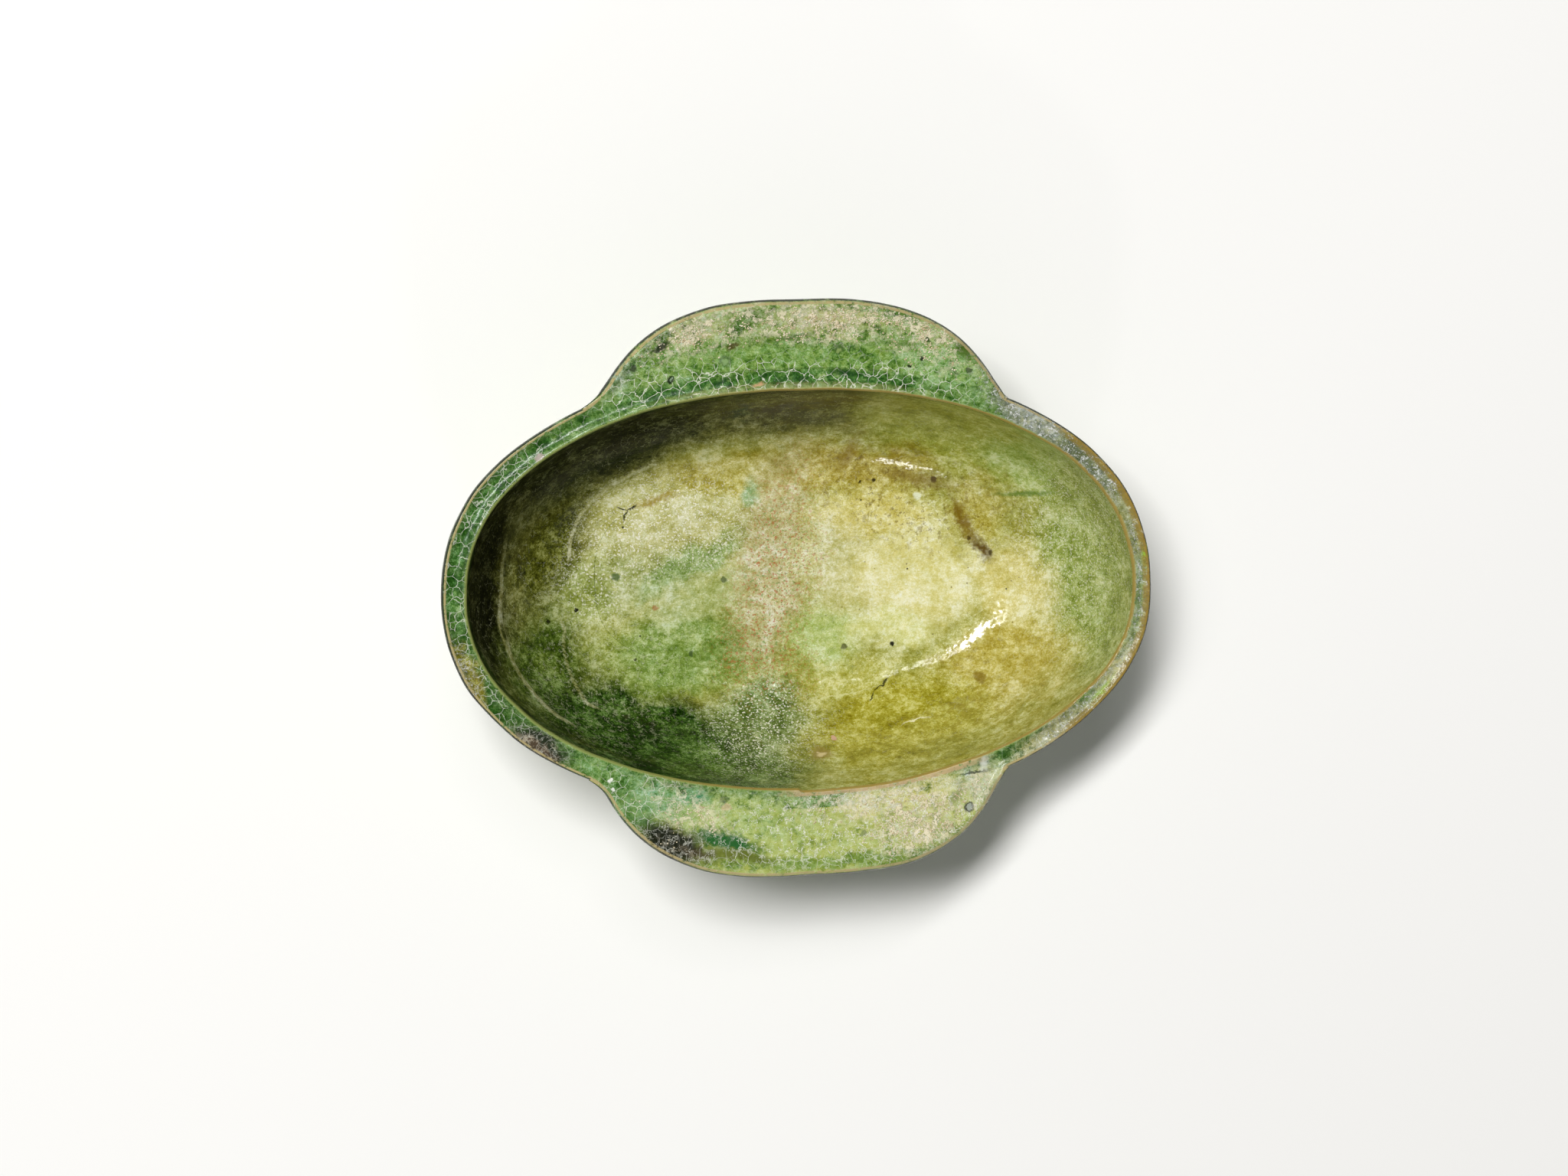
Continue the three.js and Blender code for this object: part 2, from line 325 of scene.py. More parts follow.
# A soft oval patch of glaze of another tone, placed in plan in millimetres
def makePatchGroup():
    tree, given = startGroup("glazePatch", "ShaderNodeTree", "Color", Place="Vector", Under="Color",
                             Tone="Color", Middle="Vector", Size="Vector", Turn="Vector",
                             Softness="Float", Strength="Float")
    local = addNode(tree, "Mapping", {
        "Vector": given["Place"], "Location": given["Middle"], "Rotation": given["Turn"],
        "Scale": given["Size"]}, vector_type="TEXTURE")
    away = addNode(tree, "VectorMath", {0: local}, operation="LENGTH").outputs["Value"]
    inner = addNode(tree, "Math", {0: 1.0, 1: given["Softness"]}, operation="SUBTRACT")
    outer = addNode(tree, "Math", {0: 1.0, 1: given["Softness"]}, operation="ADD")
    layByDistance(tree, given, away, inner, outer)
    return tree


dotEdge = dict(full=0.65, none=1.25)  # as shares of a dot's radius


# A round dot, by its radius in millimetres
def makeDotGroup():
    tree, given = startGroup("glazeDot", "ShaderNodeTree", "Color", Place="Vector", Under="Color",
                             Tone="Color", Middle="Vector", Radius="Float", Strength="Float")
    away = addNode(tree, "VectorMath", {0: given["Place"], 1: given["Middle"]}, operation="DISTANCE")
    apart = addNode(tree, "Math", {0: away.outputs["Value"], 1: given["Radius"]}, operation="DIVIDE")
    layByDistance(tree, given, apart, dotEdge["full"], dotEdge["none"])
    return tree


patchGroup, dotGroup = makePatchGroup(), makeDotGroup()
patchMargin = 2.5  # millimetres by which noise may bend a patch's outline


# How far points in plan lie from a patch's middle, as shares of its half sizes
def awayFromPatch(points, middle, halves, turn):
    away, angle = points - middle, math.radians(turn)
    along = away[:, 0] * math.cos(angle) + away[:, 1] * math.sin(angle)
    across = away[:, 1] * math.cos(angle) - away[:, 0] * math.sin(angle)
    return np.hypot(along / halves[0], across / halves[1])


def patchMeets(surface, middle, size, turn, softness):
    halves = np.array(size) * (1 + softness) + patchMargin
    return bool((awayFromPatch(surface, middle, halves, turn) < 1).any())


# Lays patches over a tone. Each is tone, middle, half sizes, turn in degrees, softness, strength.
# Patches that lie clear of the surface, given as points in plan, are left out.
def layPatches(tree, place, under, patches, surface=None):
    for tone, middle, size, turn, softness, strength in patches.values():
        if surface is None or patchMeets(surface, middle, size, turn, softness):
            under = addNode(tree, "Group", {
                "Place": place, "Under": under, "Tone": tone, "Middle": (*middle, 0.0),
                "Size": (*size, 1.0), "Turn": (0.0, 0.0, math.radians(turn)),
                "Softness": softness, "Strength": strength}, node_tree=patchGroup)
    return under


# Lays dots over a tone. Each is tone, middle, radius, strength.
def layDots(tree, place, under, dots, surface=None):
    for tone, middle, radius, strength in dots.values():
        if surface is None or patchMeets(surface, middle, (radius, radius), 0, 0):
            under = addNode(tree, "Group", {
                "Place": place, "Under": under, "Tone": tone, "Middle": (*middle, 0.0),
                "Radius": radius, "Strength": strength}, node_tree=dotGroup)
    return under


# How far places lie in zones: 1 in a zone, 0 outside. Each zone is laid as a white patch.
def zoneShare(tree, place, zones, surface=None):
    white = {name: ("#ffffff", *zone) for name, zone in zones.items()}
    share = layPatches(tree, place, "#000000", white, surface)
    return 0.0 if share == "#000000" else share


# Object coordinates in millimetres, and the same bent by noise and flattened to the plan, so
# that what is placed with it gets a ragged outline
def makePlace(tree):
    coordinates = addNode(tree, "TexCoord").outputs["Object"]
    return addNode(tree, "VectorMath", {0: coordinates, "Scale": metre}, operation="SCALE")


def bendPlace(tree, place, bends, flat=True):
    bent = place
    for size, amount in bends:
        cloud = addNode(tree, "TexNoise", {"Vector": place, "Scale": 1 / size, "Detail": 2.0})
        centred = addNode(tree, "VectorMath", {0: cloud.outputs["Color"], 1: (0.5, 0.5, 0.5)},
                          operation="SUBTRACT")
        push = addNode(tree, "VectorMath", {0: centred, "Scale": amount}, operation="SCALE")
        bent = addNode(tree, "VectorMath", {0: bent, 1: push}, operation="ADD")
    if not flat:
        return bent
    return addNode(tree, "VectorMath", {0: bent, 1: (1.0, 1.0, 0.0)}, operation="MULTIPLY")


# The share of a place where several shares meet
def meet(tree, *shares):
    met = shares[0]
    for share in shares[1:]:
        met = addNode(tree, "Math", {0: met, 1: share}, operation="MULTIPLY")
    return met


# Lays layers over a tone. Each is the tone laid over it, how strongly, and the shares that meet.
def layTones(tree, tone, layers):
    for over, strength, *shares in layers:
        share = meet(tree, *shares, strength)
        tone = addNode(tree, "Mix", {0: share, 6: tone, 7: over}, data_type="RGBA")
    return tone


# Cloudy shares from noise of a real size in mm, rising between two levels
def cloudShare(tree, place, size, low, high, detail=3.0, rough=0.55):
    cloud = addNode(tree, "TexNoise", {"Vector": place, "Scale": 1 / size, "Detail": detail,
                                       "Roughness": rough})
    return addNode(tree, "MapRange", {0: cloud.outputs["Fac"], 1: low, 2: high},
                   interpolation_type="SMOOTHSTEP")


ironTint = "#faeeb4"
thinnestGlaze = 0.45  # as a share of its usual thickness


# Glaze swallows more light where it lies thicker. Each layer of noise, by its coarsest size in mm,
# spread, drawing out and turn in degrees, changes the thickness, and the tone raised to that power
# goes from pale to deep. Iron in it comes and goes in clouds of its own and takes away the blue.
def unevenGlaze(tree, place, tone, layers, iron):
    thickness = 1 - sum(spread for _, spread, *_ in layers) / 2
    for size, spread, drawn, turn in layers:
        along = addNode(tree, "Mapping", {"Vector": place, "Rotation": (0, 0, math.radians(turn)),
                                          "Scale": (1 / drawn, 1.0, 1.0)})
        cloud = addNode(tree, "TexNoise", {"Vector": along, "Scale": 1 / size, "Detail": 6.0,
                                           "Roughness": 0.96})
        thickness = addNode(tree, "Math", {0: cloud.outputs["Fac"], 1: spread, 2: thickness},
                            operation="MULTIPLY_ADD")
    thickness = addNode(tree, "Math", {0: thickness, 1: thinnestGlaze}, operation="MAXIMUM")
    deep = addNode(tree, "Gamma", {"Color": tone, "Gamma": thickness})
    stain = addNode(tree, "TexNoise", {"Vector": place, "Scale": 0.6, "Detail": 4.0,
                                       "Roughness": 0.9})
    amount = addNode(tree, "Math", {0: stain.outputs["Fac"], 1: iron, 2: -iron / 2},
                     operation="MULTIPLY_ADD")
    tint = addNode(tree, "Gamma", {"Color": ironTint, "Gamma": amount})
    return addNode(tree, "Mix", {0: 1.0, 6: deep, 7: tint}, data_type="RGBA", blend_type="MULTIPLY")


# Where a spot and a crazing line are full and where they end, as shares of radius and width
spotEdge = dict(full=0.6, none=1.2)
crazingEdge = dict(full=0.25, none=0.65)


# Round spots, one in some of the cells of a real size in mm
def spotShare(tree, place, cell, radius, kept):
    cells = addNode(tree, "TexVoronoi", {"Vector": place, "Scale": 1 / cell})
    spot = addNode(tree, "MapRange", {
        0: cells.outputs["Distance"], 1: radius / cell * spotEdge["full"],
        2: radius / cell * spotEdge["none"], 3: 1.0, 4: 0.0})
    draw = addNode(tree, "SeparateColor", {"Color": cells.outputs["Color"]}).outputs["Red"]
    chosen = addNode(tree, "Math", {0: draw, 1: kept}, operation="LESS_THAN")
    return meet(tree, spot, chosen)


# The share of a soft line along a marked distance, in mm
def lineShare(tree, mark, middle, half, soft=0.5):
    distance = addNode(tree, "Attribute", attribute_name=mark).outputs["Fac"]
    away = addNode(tree, "Math", {0: distance, 1: middle}, operation="SUBTRACT")
    size = addNode(tree, "Math", {0: away}, operation="ABSOLUTE")
    return addNode(tree, "MapRange", {0: size, 1: half * (1 - soft), 2: half, 3: 1.0, 4: 0.0},
                   interpolation_type="SMOOTHSTEP")


# Lead glaze shrinks more than clay and crazes into cells 1.3 to 2.6 mm wide. Dirt and a silvery
# film fill the lines, and finer ones have burst into short white curls. Each set of lines is its
# cell and line width in mm, how far the lines wander, and the size and levels of the clouds that
# break it. The shares say how much of each set shows at a place.
crazings = dict(
    rim=[(1.8, 0.10, 0.7, 2.4, 0.34, 0.46), (1.2, 0.14, 1.8, 1.1, 0.49, 0.54)],
    inside=[(1.5, 0.10, 1.1, 1.6, 0.50, 0.58), (0.8, 0.13, 1.1, 0.8, 0.52, 0.58)],
    outside=[(2.2, 0.12, 1.0, 3.0, 0.38, 0.52)],
)


def crazingShare(tree, place, kind, shares):
    every = 0.0
    for (cell, width, wander, cloud, low, high), share in zip(crazings[kind], shares):
        bent = bendPlace(tree, place, [(cell / 2, wander)], flat=False)
        cells = addNode(tree, "TexVoronoi", {"Vector": bent, "Scale": 1 / cell, "Randomness": 0.95},
                        feature="DISTANCE_TO_EDGE")
        line = addNode(tree, "MapRange", {
            0: cells, 1: width / cell * crazingEdge["full"], 2: width / cell * crazingEdge["none"],
            3: 1.0, 4: 0.0}, interpolation_type="SMOOTHSTEP")
        shown = meet(tree, line, cloudShare(tree, place, cloud, low, high), share)
        every = addNode(tree, "Math", {0: shown, 1: every}, operation="MAXIMUM")
    return every


# The surface's normal under reliefs. Each is a share, or the place, size in mm and detail of a
# cloud, and the height in mm that it rises.
def reliefNormal(tree, reliefs):
    normal = None
    for share, height in reliefs:
        if isinstance(share, tuple):
            cloudPlace, size, detail = share
            share = addNode(tree, "TexNoise", {"Vector": cloudPlace, "Scale": 1 / size,
                                               "Detail": detail})
        inputs = {"Height": share, "Distance": abs(height) / metre, "Strength": 1.0}
        if normal is not None:
            inputs["Normal"] = normal
        normal = addNode(tree, "Bump", inputs, invert=height < 0)
    return normal


def newMaterial(name):
    material = bpy.data.materials.new(name)
    material.use_nodes = True
    material.node_tree.nodes.clear()
    return material, material.node_tree


# Ends a material with its shader
def finishMaterial(tree, inputs):
    addNode(tree, "OutputMaterial", {"Surface": addNode(tree, "BsdfPrincipled", inputs)})


# Tones of the glaze inside, as it lies over the floor and walls, with the rim's shadow painted in
insideTones = dict(
    # Painted shadow: the rim's shadow on the back and left walls, painted near black in these three
    # tones
    paintedShadowBackLeft=("#191f06", (-31, 29), (32, 11.5), 27, 0.35, 0.97),
    paintedShadowBack=("#2c3208", (0, 33), (24, 7.5), 0, 0.5, 0.95),
    paintedShadowLeftWall=("#0f1304", (-56, 3), (9.5, 26), 0, 0.4, 0.97),
    # Olive glaze darkened by painted shade where the rim's shadow ends
    oliveWithPaintedShadeLeft=("#454a04", (-40.5, 5), (6.5, 11), -28, 0.45, 0.95),
    greenLowLeft=("#435b14", (-42, -13), (8, 8), 35, 0.5, 0.95),
    sageLeft=("#97a258", (-34.5, -3), (6.5, 5), 20, 0.5, 0.9),
    deepGreenLow=("#163c02", (-25, -25.5), (21, 7), -17, 0.4, 0.97),
    greenFront=("#41611b", (-9, -31), (11, 4), -5, 0.5, 0.9),
    sageLow=("#819a4c", (-18, -12.5), (14, 6.5), 5, 0.5, 0.95),
    sageMiddle=("#a3ab6c", (-24, 2), (8, 7), 0, 0.5, 0.9),
    creamLeft=("#bfbc7e", (-18, 11), (13, 5), 12, 0.5, 0.9),
    paleBand=("#b5be80", (-13, -3), (9, 3.4), 25, 0.5, 0.85),
    tealBand=("#8da564", (-15.5, 2.6), (10, 2.4), 32, 0.45, 0.85),
    bandTop=("#b1a750", (-7, 18.8), (14, 3.5), 5, 0.5, 0.9),
    pinkBand=("#c0b886", (-1, 4), (6.5, 18), -10, 0.45, 0.9),
    tealTop=("#8cae7c", (-4.3, 15.2), (1.6, 2.6), -20, 0.6, 0.8),
    frostLow=("#63793c", (-4, -24), (9, 5.5), 0, 0.5, 0.9),
    greenRight=("#b6c57a", (8.5, -10), (6, 6.5), -20, 0.5, 0.9),
    creamMiddle=("#c9c58a", (9, 3), (7, 8), 0, 0.5, 0.9),
    creamRight=("#dfd99e", (24, 0), (12, 9.5), 0, 0.45, 0.95),
    # Pale glaze lightened further by a painted highlight near the floor's edge
    paleLowPaintedHighlight=("#dcdc9c", (20, -10), (8, 3), 0, 0.5, 0.8),
    backRight=("#9fa642", (27, 25), (15, 5), -20, 0.45, 0.95),
    sageBack=("#a0b562", (42, 19), (8, 5), -35, 0.5, 0.9),
    mottleTop=("#b0a048", (15, 18.5), (12, 4), 0, 0.5, 0.9),
    creamUpper=("#d6cb80", (17, 11), (10, 3.6), 0, 0.5, 0.85),
    oliveStain=("#b4a852", (35, 11), (3.6, 5), 20, 0.5, 0.8),
    wallRight=("#92a152", (53, 3), (7, 22), 0, 0.45, 0.95),
    peachEnd=("#d4ca86", (40.5, -3), (6, 8), 0, 0.5, 0.9),
    sandLow=("#b3b056", (12, -18.5), (8, 3.4), 5, 0.5, 0.85),
    amberRight=("#bdb05c", (38, -16), (11, 6), 28, 0.45, 0.95),
    amberLow=("#a49c30", (20, -25.5), (16, 6), 9, 0.4, 0.95),
)

# Small marks inside: stains with torn outlines, streaks and short cracks, and then round pinholes
# and spots, with one painted glint among them
insideStains = dict(
    brownStreak=("#6d5208", (32.8, 9.0), (1.0, 4.0), 24, 0.8, 0.85),
    brownStreakEnd=("#543c06", (36.0, 4.2), (1.0, 2.2), 36, 0.8, 0.95),
    amberStain=("#97832c", (-21.8, 14.0), (3.6, 0.6), 15, 0.9, 0.85),
    brownSpots=("#7a5f16", (12.2, 21.6), (1.1, 2.6), -20, 0.95, 0.6),
    brownArc=("#70551a", (25.2, 16.4), (4.8, 1.0), -12, 0.95, 0.6),
)
insideMarks = dict(
    greenStreak=("#57782a", (42.8, 13.9), (3.8, 0.4), 4, 0.8, 0.8),
    crackOne=("#17190c", (-27.7, 12.6), (0.95, 0.13), -27, 0.5, 0.95),
    crackTwo=("#17190c", (-26.0, 12.7), (1.0, 0.13), 30, 0.5, 0.95),
    crackThree=("#17190c", (-27.0, 11.2), (1.0, 0.13), 78, 0.5, 0.95),
    crackFour=("#25240e", (17.6, -19.4), (1.7, 0.13), 38, 0.5, 0.9),
    crackFive=("#25240e", (15.5, -21.3), (1.0, 0.13), 50, 0.5, 0.9),
    scratchOne=("#efe9c4", (22.4, -25.2), (2.2, 0.12), 12, 0.6, 0.9),
    longScratch=("#d6d598", (10.0, -20.9), (6.0, 0.12), 10, 0.7, 0.7),
    blister=("#8f7a36", (4.9, -29.8), (1.7, 0.8), 0, 0.5, 0.85),
    blisterTop=("#d8c592", (4.9, -29.8), (0.8, 0.3), 0, 0.5, 0.9),
)
insideDots = dict(
    brownOne=("#4a3610", (27.3, 16.4), 0.6, 0.9), brownTwo=("#332a0c", (14.6, 16.4), 0.28, 0.95),
    brownThree=("#332a0c", (16.9, 16.5), 0.32, 0.95), brownFour=("#7c6420", (34.5, -18.4), 1.1, 0.7),
    brownFive=("#4a3a12", (33.8, 6.0), 0.35, 0.9), brownSix=("#3a2c10", (37.2, 3.4), 0.4, 0.85),
    # Painted glint: a near-white dot where a lamp's glint falls on the glaze
    paintedGlint=("#e2e6cc", (24.4, 13.6), 0.6, 0.8),
    holeOne=("#0f0f06", (19.6, -12.5), 0.42, 0.97), holeTwo=("#4c4e26", (11.2, -12.7), 0.6, 0.8),
    holeThree=("#0f0f06", (-36.0, -4.5), 0.4, 0.95), holeFour=("#1c1d0a", (-41.0, -6.4), 0.35, 0.9),
    holeFive=("#4c5a34", (-9.9, -0.3), 0.5, 0.8), holeSix=("#3f5228", (-15.9, -13.0), 0.45, 0.85),
    holeSeven=("#2a3214", (-28.1, -22.8), 0.35, 0.85), holeEight=("#2f3818", (-25.9, -13.7), 0.3, 0.85),
    holeNine=("#3f5c2c", (-28.9, 1.0), 0.7, 0.8), crackEnd=("#15170a", (-27.4, 9.3), 0.22, 0.9),
    pink=("#d4a892", (7.8, -27.5), 0.45, 0.9), rust=("#a86a48", (-22.0, -4.8), 0.5, 0.6),
)

# Where the glaze inside has gone dull with pale flecks, where its fine crazing has turned white,
# where rusty clay shows through in specks, and where iron has left brown ones and brown clouds
flecked = dict(low=((-4, -26), (10, 6), 8, 0.6, 1.0), creamLeft=((-20, 9), (14, 8), 12, 0.6, 1.0),
               left=((-34, -2), (6, 6), 0, 0.6, 0.7), right=((50, 8), (8, 20), 0, 0.6, 0.6),
               middle=((8, 4), (14, 12), 0, 0.7, 0.25))
curled = dict(creamLeft=((-17, 9), (14, 7), 12, 0.6, 0.9), low=((-30, -14), (16, 13), 35, 0.5, 0.55),
              middle=((10, -11), (6, 5), 0, 0.6, 0.7))
rusty = dict(band=((-1, -1), (7, 19), -12, 0.6, 1.0), low=((-1, -16), (8, 6), 0, 0.6, 0.6))
specked = dict(right=((28, 3), (24, 26), 0, 0.5, 1.0))
mottled = dict(top=((23, 14), (19, 9), -20, 0.5, 1.0), low=((34, -18), (8, 6), 25, 0.7, 0.6))
# The left half, where the rim's shadow falls: it takes the painted shade under the lip, more crazing, a
# greener lip line and less coat
leftHalf = dict(left=((-46, 5), (43, 46), 0, 0.3, 1.0))


# Green lead glaze inside the bowl, poured thin over pale clay: glassy and cloudy, from deep green
# through cream to amber, with hair-fine crazing, iron specks and flecks where it has decayed, and
# with the rim's shadow and the shade under the left lip painted in. Its gloss is all in the coat,
# which is worn off the steep wall at the left.
def makeInsideGlaze():
    material, tree = newMaterial("green_lead_glaze_inside")
    place = makePlace(tree)
    plan = bendPlace(tree, place, [(9.0, 7.0), (2.4, 3.2), (0.8, 0.9)])
    finePlan = bendPlace(tree, place, [(3.0, 1.3), (0.8, 0.8)])
    tornPlan = bendPlace(tree, place, [(2.0, 2.6), (0.6, 1.8)])
    onLeft = zoneShare(tree, plan, leftHalf)
    tone = layPatches(tree, plan, "#a5a555", insideTones)
    tone = layTones(tree, tone, [
        # Painted shade: a dark band just under the lip on the left half, where the rim's shadow falls
        ("#1f3a0a", 0.9, lineShare(tree, "fromLip", -2.6, 2.6, 0.9), onLeft),
        ("#b3b27c", 0.6, lineShare(tree, "toolMark", 1.0, 0.6, 0.9))])
    tone = unevenGlaze(tree, place, tone, [(6.0, 4.6, 1.0, 0), (1.6, 2.0, 2.6, -38),
                                           (0.8, 1.8, 1.0, 0)], 1.7)
    pale = zoneShare(tree, plan, flecked)
    rust = zoneShare(tree, plan, rusty)
    iron = zoneShare(tree, plan, specked)
    mottle = zoneShare(tree, plan, mottled)
    curls = zoneShare(tree, plan, curled)
    whiteFleck = meet(tree, cloudShare(tree, place, 0.36, 0.58, 0.62, 1.0), pale)
    lines = crazingShare(tree, place, "inside", [addNode(tree, "Math", {
        0: meet(tree, onLeft, 0.4), 1: 0.3}, operation="MAXIMUM"), curls])
    tone = layTones(tree, tone, [
        ("#7d6a1c", 0.55, cloudShare(tree, place, 2.4, 0.54, 0.64, 5.0, 0.75), mottle),
        ("#5a450c", 0.6, cloudShare(tree, place, 1.0, 0.55, 0.62, 4.0, 0.85), mottle),
        ("#b0603c", 0.7, cloudShare(tree, place, 0.45, 0.57, 0.65, 1.0), rust),
        ("#4f8a45", 0.55, cloudShare(tree, place, 0.42, 0.59, 0.67, 1.0), rust),
        ("#f3f0dc", 0.8, whiteFleck),
        ("#dfe2b8", 0.6, lines),
        ("#56420f", 0.9, spotShare(tree, place, 1.5, 0.14, 0.35), iron),
        ("#1f1d0b", 0.9, spotShare(tree, place, 3.6, 0.18, 0.35))])
    tone = layPatches(tree, tornPlan, tone, insideStains)
    tone = layPatches(tree, finePlan, tone, insideMarks)
    tone = layDots(tree, finePlan, tone, insideDots)
    lipTone = layTones(tree, "#9c8440", [("#8f9a56", 1.0, onLeft)])
    tone = layTones(tree, tone, [(lipTone, 0.9, lineShare(tree, "fromLip", 0.3, 0.5))])
    dull = addNode(tree, "MapRange", {0: pale, 1: 0.0, 2: 1.0, 3: 0.3, 4: 0.5})
    wallShare = meet(tree, lineShare(tree, "fromLip", -8.0, 17.0, 0.7), onLeft)
    shine = addNode(tree, "MapRange", {0: wallShare, 1: 0.0, 2: 1.0, 3: 0.85, 4: 0.02})
    normal = reliefNormal(tree, [((place, 2.4, 2.0), 0.14), ((place, 0.5, 2.0), 0.012),
                                 (whiteFleck, -0.03), (lines, -0.015)])
    finishMaterial(tree, {
        "Base Color": tone, "Roughness": dull, "IOR": 1.05, "Coat Weight": shine,
        "Coat Roughness": 0.1, "Coat IOR": 1.5, "Normal": normal, "Coat Normal": normal})
    return material


# Tones of the thicker green glaze on the rim and ears. The rim's right end has gone silvery grey.
topTones = dict(
    leftRim=("#42612c", (-60, 4), (19, 40), 0, 0.3, 0.97),
    rightUpper=("#747e5c", (50, 28), (20, 12), -38, 0.12, 1.0),
    silverTop=("#a3a892", (40, 30), (5.5, 4), -30, 0.5, 0.9),
    rightEnd=("#8c905c", (60, 10), (8, 12), 0, 0.35, 0.95),
    rightMiddle=("#8fa06e", (61, -3), (8, 7), 0, 0.4, 0.9),
    rightLow=("#bdbd8e", (56, -16), (7, 5), 55, 0.5, 0.95),
    rightLowest=("#9c9c6e", (43, -28), (11, 4.5), 33, 0.35, 0.95),
    leftOchre=("#76701f", (-55.4, -12.6), (1.7, 6), 22, 0.35, 0.97),
    leftGrey=("#868a70", (-57.3, -13.5), (1.3, 5.6), 24, 0.45, 0.9),
    notchLight=("#6f9450", (-32, -30.5), (6, 3), -30, 0.5, 0.9),
    backOuter=("#8fa25f", (2, 45), (27, 3.4), 0, 0.5, 0.9),
    backPaleLeft=("#aeb37c", (-17.5, 42.4), (5, 2.2), 15, 0.6, 0.85),
    backPaleTop=("#b5b480", (4.5, 44.8), (7, 2.0), -4, 0.6, 0.8),
    backPaleRight=("#afbb7c", (23.5, 41.3), (3.4, 2.0), -25, 0.6, 0.8),
    backMiddle=("#6d9040", (-2, 38.6), (30, 2.4), 0, 0.6, 0.85),
    backDarkOne=("#41661a", (-8.5, 44.8), (3.2, 1.3), 8, 0.6, 0.85),
    backDarkTwo=("#4f7228", (16, 46.2), (5, 1.2), -10, 0.6, 0.85),
    backDarkThree=("#4f7322", (-24.5, 41.2), (3, 1.8), 35, 0.6, 0.85),
    backOlive=("#5a7522", (-5.5, 41.2), (4.6, 0.8), 10, 0.6, 0.8),
    backHornLeft=("#7f9270", (-30.0, 36.6), (2.6, 3.2), -35, 0.5, 0.85),
    backHornRight=("#4d7020", (28.2, 40), (1.8, 3.6), 32, 0.5, 0.85),
    backLight=("#7da25a", (24, 36.2), (6, 2.6), -15, 0.6, 0.85),
    frontLeft=("#6b8f52", (-28.5, -34.5), (4.6, 6), 25, 0.5, 0.95),
    frontTeal=("#7ba46e", (-22.5, -35.4), (5, 2.6), -20, 0.5, 0.9),
    frontTealDeep=("#609468", (-18.6, -34.2), (2.2, 1.6), 0, 0.6, 0.8),
    frontSage=("#9fb165", (-10, -38), (11, 4), -8, 0.5, 0.9),
    frontPale=("#d6d198", (11.5, -36), (5, 2.8), 5, 0.6, 0.85),
    frontCrust=("#bdbd80", (20.0, -39.0), (5.4, 3.4), 20, 0.6, 0.85),
    frontCream=("#cbc780", (20, -34.6), (7, 2), 12, 0.5, 0.8),
    frontHorn=("#b2b78a", (31, -34), (3.6, 4), 40, 0.5, 0.85),
    frontOlive=("#6f8a36", (6, -45.6), (24, 1.2), 0, 0.5, 0.9),
    frontRightEdge=("#829250", (24, -42.6), (7, 1.6), 26, 0.5, 0.85),
)

# Where the glaze has pooled deep or has burnt black, with torn outlines
topPools = dict(
    frontGreen=("#175a22", (-13.8, -41.7), (6.0, 1.4), -16, 0.5, 0.97),
    frontOliveLeft=("#5a641c", (-11.5, -44.2), (6, 0.9), -10, 0.6, 0.9),
    blackEar=("#0c1008", (-22.6, -41.6), (6.2, 2.8), -24, 0.4, 0.98),
    blackBrown=("#3c3214", (-18.5, -43.6), (3.0, 0.9), -20, 0.6, 0.8),
    burnt=("#1c2114", (-44.2, -24.7), (5.4, 2.3), -32, 0.4, 0.96),
    burntMiddle=("#5c4c3c", (-44.6, -24.9), (3.2, 0.8), -34, 0.7, 0.8),
    tealPool=("#3f8c62", (-17.8, -34.4), (1.8, 1.1), 0, 0.8, 0.7),
)

# Small marks on the rim and ears: smears and cracks, and then burst bubbles, holes and flecks
topMarks = dict(
    darkOne=("#17200f", (-22.9, 40.6), (1.7, 0.55), 25, 0.5, 0.9),
    darkTwo=("#453a14", (-10.8, 40.6), (1.0, 0.4), 20, 0.6, 0.9),
    darkThree=("#456018", (28.0, 39.4), (0.9, 1.6), 20, 0.8, 0.85),
    smear=("#3f5a1c", (-1.0, 41.9), (3.4, 0.35), 12, 0.9, 0.8),
    smearTwo=("#4a6a24", (17.5, 40.4), (3.2, 0.35), -6, 0.9, 0.6),
    groovePitch=("#0f3a0c", (-12.6, 34.9), (1.6, 0.35), 22, 0.8, 0.85),
    groovePitchTwo=("#0f3a0c", (7.6, 35.9), (2.2, 0.5), -4, 0.8, 0.85),
    crackBack=("#1f3018", (23.0, 43.6), (1.4, 0.12), -4, 0.5, 0.9),
    smearRight=("#6f7548", (25.9, -35.3), (0.7, 1.8), -35, 0.9, 0.6),
    crackFront=("#2a2f22", (29.0, -31.9), (2.4, 0.2), 8, 0.7, 0.85),
    pinkEdge=("#d0a07a", (-6.5, 34.2), (0.9, 0.25), 8, 0.7, 0.85),
    greenEdge=("#93b42c", (58.9, 4.2), (0.7, 2.0), 0, 0.6, 0.9),
    greenEdgeLow=("#93b42c", (51.4, -18.9), (2.6, 0.6), 48, 0.7, 0.85),
    rustEdge=("#9a6a2c", (55.2, -16.6), (2.6, 0.45), 55, 0.6, 0.85),
    whiteNotch=("#dfe2d4", (30.6, -30.2), (0.6, 1.1), 0, 0.9, 0.8),
)
